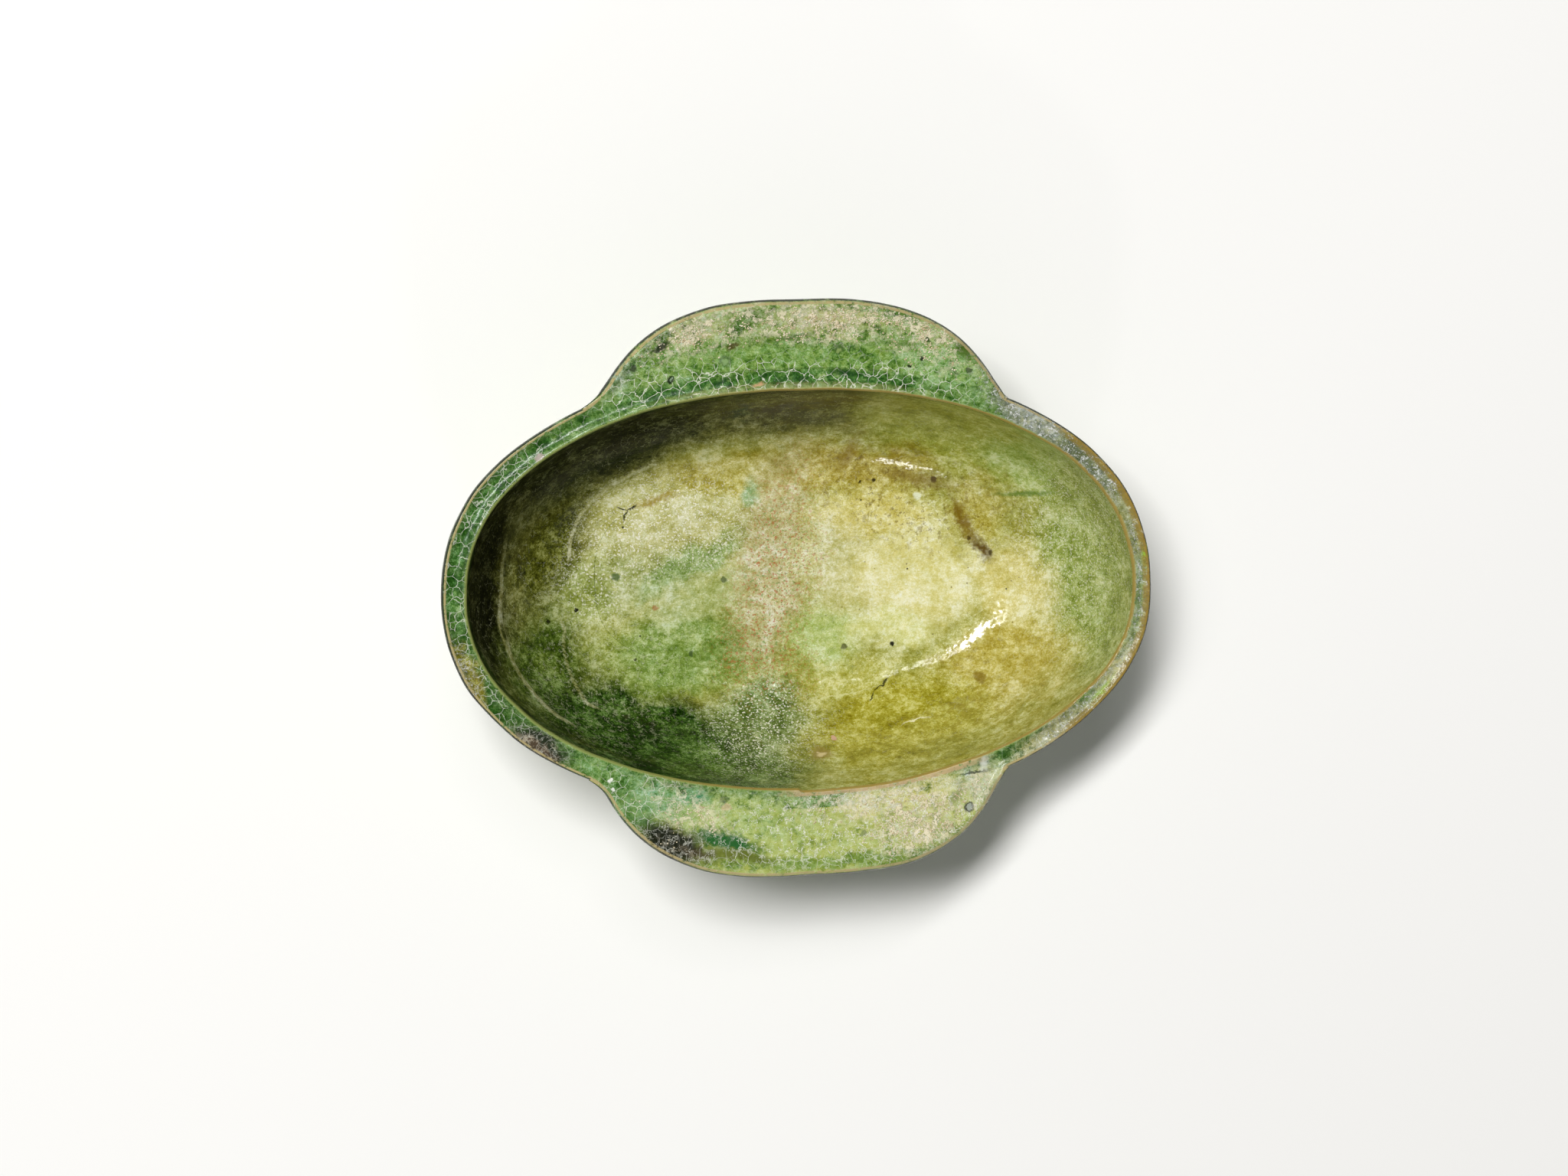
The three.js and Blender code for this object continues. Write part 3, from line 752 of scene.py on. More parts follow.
topDots = dict(
    scar=("#b3a79c", (-43.0, 22.9), 0.7, 0.95), holeOne=("#15220f", (-21.2, 35.2), 0.6, 0.95),
    holeOneTop=("#8aa080", (-21.1, 35.3), 0.22, 0.8), ringTwo=("#33502a", (-12.2, 38.2), 1.0, 0.6),
    ringTwoTop=("#8aa86c", (-12.2, 38.1), 0.55, 0.85), dark=("#1f2a1a", (-27.3, 37.2), 0.6, 0.8),
    darkFive=("#20360f", (28.8, 35.7), 0.6, 0.8), darkSix=("#17240e", (18.7, 36.8), 0.36, 0.95),
    darkSeven=("#17240e", (20.7, 37.9), 0.34, 0.95), darkEight=("#24401a", (21.8, 41.0), 0.5, 0.85),
    ringThree=("#46602c", (7.1, 39.9), 0.8, 0.6), ringThreeTop=("#8aa05c", (7.1, 39.6), 0.4, 0.8),
    ringFour=("#20241c", (27.8, -37.6), 0.85, 0.9), ringFourTop=("#a4ac9c", (27.9, -37.6), 0.45, 0.85),
    dotRight=("#20241c", (31.0, -37.7), 0.42, 0.9), fleckNotch=("#f0f2e6", (-32.6, -31.0), 0.35, 0.9),
    fleckNotchTwo=("#f0f2e6", (-32.2, -32.6), 0.35, 0.9), holeFront=("#5c6a38", (9.6, -41.4), 0.6, 0.6),
    darkFront=("#4e5e3a", (-13.6, -34.7), 0.7, 0.6), pinkFront=("#cbb28c", (-13.4, -36.2), 0.7, 0.6),
)

# Where burial has left a dry pale crust, where the crazing is strong, where its finer lines have
# turned to white curls, where the glaze has silvered, where bare clay shows on the chipped front
# lip, where the channel holds deep glaze, and the rim's right end
crusted = dict(
    backMiddle=((3, 44.6), (15, 3.0), 0, 0.8, 1.0), backLeft=((-17, 42.6), (7, 3), 15, 0.8, 0.9),
    backRight=((22, 42), (8, 4), -25, 0.8, 0.8), frontRight=((19, -39.5), (7, 5), 20, 0.6, 1.0),
    frontInner=((9, -35.5), (10, 3.5), 0, 0.8, 0.7), frontLeft=((-20, -36), (6, 3), -25, 0.8, 0.7),
    burnt=((-45, -25), (5, 1.4), -32, 0.7, 0.45), blackEar=((-21, -43), (4, 1.0), -24, 0.8, 0.2),
    horn=((30, -36), (4, 5), 30, 0.7, 0.6))
crazed = dict(back=((-3, 32.5), (32, 5.6), 0, 0.2, 1.0), left=((-58, 10), (22, 36), 15, 0.3, 0.7),
              frontLeft=((-28, -34), (8, 6), 0, 0.5, 0.7), frontLow=((0, -45), (24, 1.5), 0, 0.5, 0.6))
curledTops = dict(front=((10, -39), (26, 7), 5, 0.4, 1.0), black=((-22, -42), (7, 3), -24, 0.5, 0.55),
                  burnt=((-45, -25), (6, 3), -32, 0.5, 0.55), horn=((-24, 40), (6, 4), 30, 0.6, 0.6))
silvered = dict(upper=((48, 28), (20, 10), -38, 0.2, 1.0), end=((61, 2), (5, 20), 0, 0.3, 0.7),
                low=((52, -22), (16, 6), 42, 0.3, 0.7), left=((-57, -13), (2.6, 6), 22, 0.5, 0.6))
bareLip = dict(front=((13, -33), (17, 4), 10, 0.25, 1.0), back=((-4, 34.6), (24, 4), 0, 0.5, 0.2))
deepChannel = dict(back=((-4, 32.5), (27, 7), 0, 0.25, 1.0), left=((-54, 16), (28, 22), 25, 0.3, 0.8))
rightHalf = dict(right=((62, 0), (27, 33), 0, 0.08, 1.0))


# Thicker green lead glaze on the rim and ears: glassy with strong pale crazing, deep where it
# has run into the channel, worn to clay on the edges, under a dry burial crust, and silvered at
# the rim's right end, with painted glints in its silver flecks and painted shade where the outer
# edge turns down. The rim and each ear have their own, with the patches that reach them.
def makeTopGlaze(name, base, unevenness, surface):
    material, tree = newMaterial(name)
    place = makePlace(tree)
    sharpPlan = bendPlace(tree, place, [])
    plan = bendPlace(tree, place, [(7.0, 3.4), (2.0, 2.4), (0.8, 0.8)])
    finePlan = bendPlace(tree, place, [(3.0, 0.9), (0.7, 1.1)])
    tornPlan = bendPlace(tree, place, [(3.0, 2.4), (0.8, 2.0)])
    onRight = zoneShare(tree, sharpPlan, rightHalf, surface)
    silverShare = zoneShare(tree, plan, silvered, surface)
    stillGreen = addNode(tree, "Math", {0: 1.0, 1: silverShare}, operation="SUBTRACT")
    channel = zoneShare(tree, plan, deepChannel, surface)
    tone = layPatches(tree, plan, base, topTones, surface)
    tone = layTones(tree, tone, [
        ("#3c6a1e", 0.6 * unevenness, stillGreen,
         cloudShare(tree, place, 2.6, 0.52, 0.64, 4.0, 0.7)),
        ("#2c5d16", 0.9, lineShare(tree, "fromLip", 2.3, 1.8, 0.7), channel,
         cloudShare(tree, place, 2.0, 0.3, 0.5)),
        ("#93833e", 0.9, lineShare(tree, "fromEdge", 0.2, 1.6, 0.7), onRight,
         cloudShare(tree, place, 1.6, 0.34, 0.52))])
    tone = unevenGlaze(tree, place, tone, [(2.6, 4.0 * unevenness, 1.0, 0), (1.2, 1.6, 2.4, 4)], 3.0)
    tone = layPatches(tree, tornPlan, tone, topPools, surface)
    crust = zoneShare(tree, plan, crusted, surface)
    grit = meet(tree, crust, cloudShare(tree, place, 1.5, 0.5, 0.545, 5.0, 0.9))
    # Near-white flecks in the silvered glaze: partly the silvering itself, partly painted glints
    silverFleckAndGlint = meet(tree, silverShare, cloudShare(tree, place, 0.7, 0.53, 0.57, 4.0, 0.95))
    crackled = addNode(tree, "Math", {0: zoneShare(tree, plan, crazed, surface), 1: 0.22},
                       operation="MAXIMUM")
    lines = crazingShare(tree, place, "rim", [crackled, zoneShare(tree, plan, curledTops, surface)])
    tone = layTones(tree, tone, [
        ("#ece0c2", 0.9, grit),
        ("#eceddb", 0.68, lines, stillGreen),
        ("#56604c", 0.7, silverShare, cloudShare(tree, place, 0.8, 0.54, 0.64)),
        ("#f0f2ee", 0.9, silverFleckAndGlint)])
    tone = layPatches(tree, finePlan, tone, topMarks, surface)
    tone = layDots(tree, finePlan, tone, topDots, surface)
    bare = zoneShare(tree, sharpPlan, bareLip, surface)
    worn = cloudShare(tree, place, 1.1, 0.36, 0.5, 4.0, 0.8)
    lipTone = layTones(tree, "#8c9a54", [("#a08a44", 1.0, onRight), ("#cdb184", 1.0, bare)])
    edgeTone = layTones(tree, "#b5a574", [("#9b8038", 1.0, onRight)])
    tone = layTones(tree, tone, [
        (lipTone, 0.85, lineShare(tree, "fromLip", 0.2, 0.5), worn),
        ("#cdb184", 0.85, lineShare(tree, "fromLip", 0.9, 0.8), bare, worn),
        ("#8d7b34", 0.85, lineShare(tree, "fromEdge", 0.7, 1.1, 0.6), onRight,
         cloudShare(tree, place, 1.3, 0.36, 0.48)),
        (edgeTone, 0.9, lineShare(tree, "fromEdge", 0.45, 0.4), worn),
        # Painted shade: a near-black band where the outer edge turns down, over glaze that is darker
        # there too
        ("#1b200e", 0.95, lineShare(tree, "fromEdge", -0.8, 0.95, 0.3),
         cloudShare(tree, place, 3.0, 0.3, 0.5, 4.0, 0.8))])
    dry = addNode(tree, "Math", {0: grit, 1: meet(tree, silverShare, 0.5)}, operation="MAXIMUM")
    dull = addNode(tree, "MapRange", {0: dry, 1: 0.0, 2: 1.0, 3: 0.34, 4: 0.8})
    normal = reliefNormal(tree, [((place, 1.8, 3.0), 0.16), (grit, 0.05), (silverFleckAndGlint, 0.06),
                                 (lines, -0.03)])
    finishMaterial(tree, {
        "Base Color": tone, "Roughness": dull, "IOR": 1.25, "Coat Weight": 0.3,
        "Coat Roughness": 0.14, "Coat IOR": 1.4, "Normal": normal, "Coat Normal": normal})
    return material


alongWiping = (0.15, 1.0, 1.0)  # draws noise out along the cup
downRuns = (1.0, 1.0, 0.12)  # draws noise out down the wall


# The tones of the bare clay, with wiping marks, burial stains and iron specks
def makeClayTone(tree, place):
    wiping = addNode(tree, "Mapping", {"Vector": place, "Scale": alongWiping})
    tone = layTones(tree, "#b79468", [
        ("#9c7a52", 1.0, cloudShare(tree, place, 9.0, 0.4, 0.66)),
        ("#c9ab80", 0.5, cloudShare(tree, wiping, 1.1, 0.48, 0.66)),
        ("#6f6650", 0.6, cloudShare(tree, place, 5.0, 0.54, 0.7))])
    tone = unevenGlaze(tree, place, tone, [(3.0, 1.4, 1.0, 0)], 0.4)
    return layTones(tree, tone, [("#59462e", 0.8, spotShare(tree, place, 1.7, 0.22, 0.35))])


# Green lead glaze outside, streaked where it ran down, pooled dark above the bare clay, with
# painted shade over darker glaze just under the rim's edge
def makeOutsideGlaze():
    material, tree = newMaterial("green_lead_glaze_outside")
    place = makePlace(tree)
    runs = addNode(tree, "Mapping", {"Vector": place, "Scale": downRuns})
    tone = layTones(tree, "#5c8440", [
        ("#8a9c54", 1.0, cloudShare(tree, place, 9.0, 0.4, 0.66)),
        ("#2c5424", 0.6, cloudShare(tree, runs, 2.6, 0.46, 0.66)),
        ("#b7b474", 0.6, cloudShare(tree, runs, 4.2, 0.52, 0.72))])
    tone = unevenGlaze(tree, place, tone, [(5.0, 4.4, 1.0, 0)], 3.0)
    fromEnd = addNode(tree, "Attribute", attribute_name="fromGlazeEnd").outputs["Fac"]
    bare = addNode(tree, "MapRange", {0: fromEnd, 1: -0.3, 2: 0.1, 3: 1.0, 4: 0.0})
    glazed = addNode(tree, "Math", {0: 1.0, 1: bare}, operation="SUBTRACT")
    lines = crazingShare(tree, place, "outside", [glazed])
    grit = meet(tree, cloudShare(tree, place, 12.0, 0.5, 0.66),
                cloudShare(tree, place, 0.9, 0.48, 0.58, 4.0, 0.8))
    tone = layTones(tree, tone, [
        ("#c6d0aa", 0.45, lines),
        ("#cfc3a0", 0.85, grit),
        ("#1f3a17", 0.8, lineShare(tree, "fromGlazeEnd", 0.6, 1.3, 0.8)),
        # Painted shade: a dark band just under the rim's outer edge, over glaze that is darker there
        # too
        ("#2a3014", 0.9, lineShare(tree, "fromEdge", -0.7, 1.3, 0.9),
         cloudShare(tree, place, 3.0, 0.3, 0.52, 4.0, 0.8)),
        (makeClayTone(tree, place), 1.0, bare)])
    dry = addNode(tree, "Math", {0: grit, 1: bare}, operation="MAXIMUM")
    dull = addNode(tree, "MapRange", {0: dry, 1: 0.0, 2: 1.0, 3: 0.32, 4: 0.84})
    shine = meet(tree, glazed, 0.5)
    normal = reliefNormal(tree, [((place, 2.2, 3.0), 0.16), (grit, 0.06), (lines, -0.03)])
    finishMaterial(tree, {
        "Base Color": tone, "Roughness": dull, "IOR": 1.5, "Coat Weight": shine,
        "Coat Roughness": 0.14, "Coat IOR": 1.5, "Normal": normal, "Coat Normal": normal})
    return material


# Low-fired buff clay, bare under the bowl and on the foot: matt and sandy, with wiping marks,
# grey burial stains and a worn paler ring where it stands
def makeBareClay():
    material, tree = newMaterial("bare_fired_clay")
    place = makePlace(tree)
    wiping = addNode(tree, "Mapping", {"Vector": place, "Scale": alongWiping})
    tone = layTones(tree, makeClayTone(tree, place), [
        ("#d2bb94", 0.6, lineShare(tree, "fromTread", 0.0, 2.6, 0.8))])
    normal = reliefNormal(tree, [((place, 0.45, 4.0), 0.12), ((wiping, 0.9, 2.0), 0.1)])
    finishMaterial(tree, {
        "Base Color": tone, "Roughness": 0.86, "IOR": 1.45, "Normal": normal})
    return material


# Points in plan between two reaches, at the chosen angles where the outer one lies further out
def planPoints(inner, outer, chosen=True):
    chosen = chosen & (outer - inner > leastCover)
    shares = np.linspace(0, 1, planSteps["across"])
    reaches = [inner + (outer - inner) * share for share in shares]
    around = np.stack([np.cos(angles), np.sin(angles)], axis=1)
    return np.concatenate([(reach[:, None] * around)[chosen] for reach in reaches])


insideGlaze = makeInsideGlaze()
rimGlaze = makeTopGlaze("green_lead_glaze_rim", "#628440", 1.0, planPoints(openingReach, rimReach))
backGlaze = makeTopGlaze("green_lead_glaze_back_ear", "#76954c", 1.0,
                         planPoints(rimReach, outlineReach, angles > 0))
frontGlaze = makeTopGlaze("green_lead_glaze_front_ear", "#a6b15e", 0.55,
                          planPoints(rimReach, outlineReach, angles < 0))
outsideGlaze = makeOutsideGlaze()
bareClay = makeBareClay()
print("materials made:", len(bpy.data.materials))

# The bowl's skin. A chip runs along the front lip: its angles in degrees, how far it cuts back
# and how much of the bead it takes. Outside, the glaze ends in a thick wavy roll above the foot.
# Faint ridges are left inside from pressing, each given by its end angles and the share of
# the wall's swing at each end.
bowl = dict(undersideRows=7, undersideFrom=0.12, undersideTo=0.96, outerRows=44, cornerRows=6,
            bandRows=20, lipRows=7, wallRows=66, floorRows=26, floorTo=0.02)
lipChip = dict(start=-91.6, sharpEnd=-90.9, fadeFrom=-66, end=-44, depth=0.5, drop=0.2, fade=1.3)
glazeEnd = dict(height=6.2, wave=1.5, roll=0.28, rollHeight=0.9, coat=0.16, soft=0.4,
                fadesFrom=8, fadesTo=1)
glazeWaves = ((1.0, 5, 1), (0.6, 11, 0), (0.3, 23, 0))  # share, waves round the cup, start
toolRidges = dict(left=(139, 172, 0.345, 0.19), lowLeft=(-168, -150, 0.28, 0.63),
                  leftWall=(-170, -152, 0.76, 0.87), endUpper=(174, 180, 0.72, 0.72),
                  endLower=(-180, -173, 0.72, 0.76))
ridgeShape = dict(height=0.16, half=0.022, fade=8, rise=0.5)


def chipShare(angle):
    degrees = np.degrees(angle)
    begun = smoothStep(lipChip["start"], lipChip["sharpEnd"], degrees)
    return begun * (1 - smoothStep(lipChip["fadeFrom"], lipChip["end"], degrees))


def glazeEndHeight(angle):
    wave = sum(share * np.sin(count * angle + start) for share, count, start in glazeWaves)
    return glazeEnd["height"] + glazeEnd["wave"] * wave / 2


def ridgeAt(angle, swing):
    degrees, total = np.degrees(angle), np.zeros_like(angle)
    for start, end, startSwing, endSwing in toolRidges.values():
        along = np.clip((degrees - start) / (end - start), 0, 1)
        middle = startSwing + (endSwing - startSwing) * along
        fade = smoothStep(start - ridgeShape["fade"], start, degrees)
        fade = fade * (1 - smoothStep(end, end + ridgeShape["fade"], degrees))
        total += fade * np.exp(-(((swing - middle) / ridgeShape["half"]) ** 2))
    return total


def makeBowlShell():
    rows, slots = [], []
    marks = dict(fromLip=[], fromEdge=[], fromGlazeEnd=[], toolMark=[], fromTread=[])

    def addRow(reach, height, slot, fromLip=far, fromEdge=far, fromEnd=far, tool=0.0):
        rows.append(ringRow(angles, reach, height))
        slots.append(slot)
        for label, value in zip(marks, (fromLip, fromEdge, fromEnd, tool, far)):
            marks[label].append(np.zeros_like(angles) + value)

    underside = ovalReach(angles, undersideOval)
    for share in np.linspace(bowl["undersideFrom"], bowl["undersideTo"], bowl["undersideRows"]):
        addRow(underside * share, cup["footHeight"], 3)
    endHeight = glazeEndHeight(angles)
    for turn in np.linspace(0, quarterTurn, bowl["outerRows"]):
        lift, swing = wallCurve(turn)
        z = cup["footHeight"] + lift * (wallTop - cup["footHeight"])
        fromEnd = z - endHeight
        coat = glazeEnd["coat"] * smoothStep(-glazeEnd["soft"], glazeEnd["soft"], fromEnd)
        coat = coat * smoothStep(glazeEnd["fadesTo"], glazeEnd["fadesFrom"], wallTop - z)
        fromRoll = (fromEnd - glazeEnd["soft"]) / glazeEnd["rollHeight"]
        roll = glazeEnd["roll"] * np.exp(-fromRoll ** 2)
        reach = wallReach(angles, swing, undersideOval, rimOval)
        addRow(reach + coat + roll, z, 2, fromEdge=z - rimTop, fromEnd=fromEnd)
    band = rimReach - openingReach

    def bandFace(inset):
        chipped = chipShare(angles) * lipChip["drop"]
        fromOpening = band - inset
        drop = chipped * np.exp(-((fromOpening - lipChip["depth"]) / lipChip["fade"]) ** 2)
        return upperFace(fromOpening, earCover + inset) - drop

    for turn in quarterTurns(bowl["cornerRows"] + 1)[:-1]:
        top = bandFace(rimCorner)
        height = wallTop + (top - wallTop) * math.sin(turn)
        addRow(rimReach - rimCorner * (1 - math.cos(turn)), height, 1, fromLip=band,
               fromEdge=height - top)
    seamRow = len(rows)
    lipBack = lipChip["depth"] * chipShare(angles)
    lipHalf = cup["lipRounding"] / 2
    for share in np.linspace(0, 1, bowl["bandRows"]):
        inset = rimCorner + (band - lipHalf - lipBack - rimCorner) * share
        addRow(rimReach - inset, bandFace(inset), 1, fromLip=band - inset, fromEdge=earCover + inset)
    lipTop = bandFace(band - lipHalf - lipBack)
    for turn in quarterTurns(bowl["lipRows"] + 1)[:-1]:
        height = wallTop + (lipTop - wallTop) * math.cos(turn)
        addRow(openingReach + lipBack + lipHalf * (1 - math.sin(turn)), height, 0,
               fromLip=height - lipTop + lipHalf)
    for turn in np.linspace(quarterTurn, 0, bowl["wallRows"]):
        lift, swing = wallCurve(turn)
        z = floorTop + lift * (wallTop - floorTop)
        depth = wallTop - z
        ridge = ridgeAt(angles, swing)
        swell = ridgeShape["height"] * ridge
        reach = wallReach(angles, swing, floorOval, openingOval)
        reach = reach + lipBack * math.exp(-depth / lipChip["fade"]) - swell
        addRow(reach, z + ridgeShape["rise"] * swell, 0, fromLip=lipHalf - (rimTop - z), tool=ridge)
    floorReach = ovalReach(angles, floorOval)
    for share in np.linspace(1, bowl["floorTo"], bowl["floorRows"] + 1)[1:]:
        z = floorTop - cup["floorDish"] * (1 - share ** 2) ** 2
        addRow(floorReach * share, z, 0)
    sharp = (seamRow, (earCover > leastCover) & (np.roll(earCover, -1) > leastCover))
    return skinRows("bowl_shell", rows, [insideGlaze, rimGlaze, outsideGlaze, bareClay], slots[:-1],
                    marks, sharp)


bowlShell = makeBowlShell()
print("bowl skinned:", len(bowlShell.data.vertices), "points")

# The ears' skins. Each starts on the rim's corner, so that its face runs on from the rim's, and
# its root lies in the bowl's wall under a fillet of slip.
earSkin = dict(topSteps=46, noseSteps=12, underSteps=18, filletSteps=8, thinOver=2.6,
               thinnest=0.3, fillet=1.5, filletShare=0.6, rooted=0.7, rootDrop=0.2, rootGap=0.1,
               crowding=1.4, glazeOver=0.7)
earMarks = dict(nose=1.2, under=-3.0, root=-5.0)  # how far past the edge the glaze takes them


def makeEarSkin(name, chosen, glaze):
    angle, opening, outline = angles[chosen], openingReach[chosen], outlineReach[chosen]
    cover, corner, rim = earCover[chosen], rimCorner[chosen], rimReach[chosen]
    slab = earSkin["thinnest"] + (cup["earEdge"] - earSkin["thinnest"]) * smoothStep(
        0, earSkin["thinOver"], cover)
    noseHalf = np.minimum(slab / 2, (cover + corner) / 2)
    rows, fromLip, fromEdge = [], [], []

    def addRow(reach, height, mark):
        rows.append(ringRow(angle, reach, height))
        fromLip.append(reach - opening)
        fromEdge.append(mark + 0 * angle)

    start, noseStart = rim - corner, outline - noseHalf
    for share in np.linspace(0, 1, earSkin["topSteps"]):
        reach = start + (noseStart - start) * (1 - (1 - share) ** earSkin["crowding"])
        addRow(reach, upperFace(reach - opening, outline - reach), outline - reach)
    noseTop = upperFace(noseStart - opening, outline - noseStart)
    for share in np.linspace(0, 1, earSkin["noseSteps"] + 1)[1:]:
        turn = (0.5 - share) * math.pi
        reach = noseStart + noseHalf * math.cos(turn)
        mark = outline - reach - earMarks["nose"] * share
        addRow(reach, noseTop - slab / 2 * (1 - math.sin(turn)), mark)
    underStart = noseTop - slab
    wall = outerWallReach(angle, underStart - cup["earTaper"] * (noseStart - rim))
    fillet = np.minimum(earSkin["fillet"], cover * earSkin["filletShare"])
    filletStart = np.minimum(wall + fillet, noseStart)
    for share in np.linspace(0, 1, earSkin["underSteps"] + 1)[1:]:
        reach = noseStart + (filletStart - noseStart) * share
        addRow(reach, underStart - cup["earTaper"] * (noseStart - reach), earMarks["under"])
    filletTop = underStart - cup["earTaper"] * (noseStart - filletStart)
    for turn in quarterTurns(earSkin["filletSteps"]):
        height = filletTop - fillet * (1 - math.cos(turn))
        reach = outerWallReach(angle, height) + (filletStart - wall) * (1 - math.sin(turn))
        addRow(reach, height, earMarks["root"])
    filletEnd = filletTop - fillet
    addRow(outerWallReach(angle, filletEnd) - earSkin["rooted"], filletEnd - earSkin["rootDrop"],
           earMarks["root"])
    addRow(rim - corner - earSkin["rootGap"], (filletEnd + rimTop) / 2, earMarks["root"])
    grid = np.stack(rows)  # steps round the section, then sections
    columns = [grid[:, section] for section in range(grid.shape[1])]
    sections = len(columns)
    marks = dict(fromLip=list(np.stack(fromLip).T), fromEdge=list(np.stack(fromEdge).T))
    marks["fromGlazeEnd"] = [np.full(len(rows), far)] * sections
    skin = skinRows(name, columns, [glaze, outsideGlaze], [0] * (sections - 1), marks)
    glazedSteps = earSkin["topSteps"] + earSkin["noseSteps"] * earSkin["glazeOver"]
    underFaces = np.arange(len(rows)) >= glazedSteps
    faceSlots = np.tile(underFaces, sections - 1).astype(int).tolist()
    faceSlots += [1] * (2 * len(rows))
    skin.data.polygons.foreach_set("material_index", faceSlots)
    skin.data.update()
    return skin


def earAngles(atBack):
    side = np.sin(angles) > 0 if atBack else np.sin(angles) < 0
    return np.flatnonzero(side & (earCover > leastCover))


earBackSkin = makeEarSkin("ear_back_skin", earAngles(True), backGlaze)
earFrontSkin = makeEarSkin("ear_front_skin", earAngles(False), frontGlaze)
print("ears skinned:", len(earBackSkin.data.vertices), "and", len(earFrontSkin.data.vertices), "points")

# Crumbs of the burial crust stand proud of the ears where the crust is thickest. Sizes are in mm,
# and the density is in crumbs to a square mm.
crumbs = dict(density=11.0, radius=0.19, flatness=0.45, roughness=0.12, seed=7, clump=1.5,
              clumpFrom=0.02, clumpTo=0.28, clearOfEdge=1.2, smallest=(0.4, 0.4, 0.6),
              largest=(1.3, 1.0, 1.2), lump=0.25)


# How thick the crust lies at points in plan, by the zones that the glaze takes it from
def crustAt(plan):
    thickest = np.zeros(len(plan))
    for middle, size, turn, softness, strength in crusted.values():
        bare = smoothStep(1 - softness, 1 + softness, awayFromPatch(plan, middle, size, turn))
        thickest = np.maximum(thickest, strength * (1 - bare))
    return thickest


# A tree that strews flattened crumbs over a mesh by its "crust" values
def makeCrumbTree():
    tree, given = startGroup("strewnCrumbs", "GeometryNodeTree", "Geometry", Geometry="Geometry",
                             Density="Float", Radius="Float", Flatness="Float", Roughness="Float",
                             Seed="Int", Material="Material")
    crust = addNode(tree, "GeometryNodeInputNamedAttribute", {"Name": "crust"}).outputs["Attribute"]
    density = addNode(tree, "Math", {0: crust, 1: given["Density"]}, operation="MULTIPLY")
    strewn = addNode(tree, "GeometryNodeDistributePointsOnFaces", {
        "Mesh": given["Geometry"], "Density": density, "Seed": given["Seed"]})
    ball = addNode(tree, "GeometryNodeMeshIcoSphere", {"Radius": given["Radius"], "Subdivisions": 1})
    squashed = addNode(tree, "CombineXYZ", {0: 1.0, 1: 1.0, 2: given["Flatness"]})
    crumb = addNode(tree, "GeometryNodeTransform", {"Geometry": ball.outputs["Mesh"],
                                                    "Scale": squashed})
    scale = addNode(tree, "FunctionNodeRandomValue", {
        "Min": crumbs["smallest"], "Max": crumbs["largest"], "Seed": given["Seed"]},
        data_type="FLOAT_VECTOR")
    placed = addNode(tree, "GeometryNodeInstanceOnPoints", {
        "Points": strewn.outputs["Points"], "Instance": crumb,
        "Rotation": strewn.outputs["Rotation"], "Scale": scale})
    real = addNode(tree, "GeometryNodeRealizeInstances", {0: placed})
    rough = addNode(tree, "TexNoise", {"Scale": metre / crumbs["lump"], "Detail": 1.0})
    centred = addNode(tree, "VectorMath", {0: rough.outputs["Color"], 1: (0.5, 0.5, 0.5)},
                      operation="SUBTRACT")
    push = addNode(tree, "VectorMath", {0: centred, "Scale": given["Roughness"]}, operation="SCALE")
    uneven = addNode(tree, "GeometryNodeSetPosition", {"Geometry": real, "Offset": push})
    finished = addNode(tree, "GeometryNodeSetMaterial", {"Geometry": uneven,
                                                         "Material": given["Material"]})
    addNode(tree, "NodeGroupOutput", {"Geometry": finished})
    return tree


# Dry crust from the soil, matt and pale cream with tan stains
def makeDryCrust():
    material, tree = newMaterial("dry_burial_crust")
    place = makePlace(tree)
    tone = layTones(tree, "#dccfae", [("#b9a67c", 0.8, cloudShare(tree, place, 1.2, 0.45, 0.6)),
                                      ("#f1ead6", 0.7, cloudShare(tree, place, 0.7, 0.52, 0.6))])
    finishMaterial(tree, {"Base Color": tone, "Roughness": 0.9, "IOR": 1.4})
    return material


def makeCrumbs():
    points, faces, clear = [], [], []
    for skin in (earBackSkin.data, earFrontSkin.data):
        start = len(points)
        points += [vertex.co[:] for vertex in skin.vertices]
        clear += [value.value for value in skin.attributes["fromEdge"].data]
        faces += [[start + index for index in face.vertices] for face in skin.polygons
                  if face.material_index == 0]
    mesh = bpy.data.meshes.new("crust_crumbs")
    mesh.from_pydata(points, [], faces)
    places = np.array(points) * metre
    clumps = np.array([noise.noise(Vector(place) / crumbs["clump"]) for place in places])
    crust = crustAt(places[:, :2]) * smoothStep(crumbs["clumpFrom"], crumbs["clumpTo"], clumps)
    crust = crust * (np.array(clear) > crumbs["clearOfEdge"])
    markPoints(mesh, "crust", crust)
    piece = placeObject("crust_crumbs", mesh)
    tree = makeCrumbTree()
    modifier = piece.modifiers.new("strewn", "NODES")
    modifier.node_group = tree
    values = dict(Density=crumbs["density"] * metre ** 2, Radius=crumbs["radius"] / metre,
                  Flatness=crumbs["flatness"], Roughness=crumbs["roughness"] / metre,
                  Seed=crumbs["seed"], Material=makeDryCrust())
    for item in tree.interface.items_tree:
        if item.in_out == "INPUT" and item.name in values:
            modifier[item.identifier] = values[item.name]
    strewn = piece.evaluated_get(bpy.context.evaluated_depsgraph_get())
    plain = bpy.data.meshes.new_from_object(strewn)
    piece.modifiers.clear()
    piece.data = plain
    plain.polygons.foreach_set("use_smooth", [True] * len(plain.polygons))
    return piece


crustCrumbs = makeCrumbs()
print("crumbs strewn:", len(crustCrumbs.data.polygons), "faces")

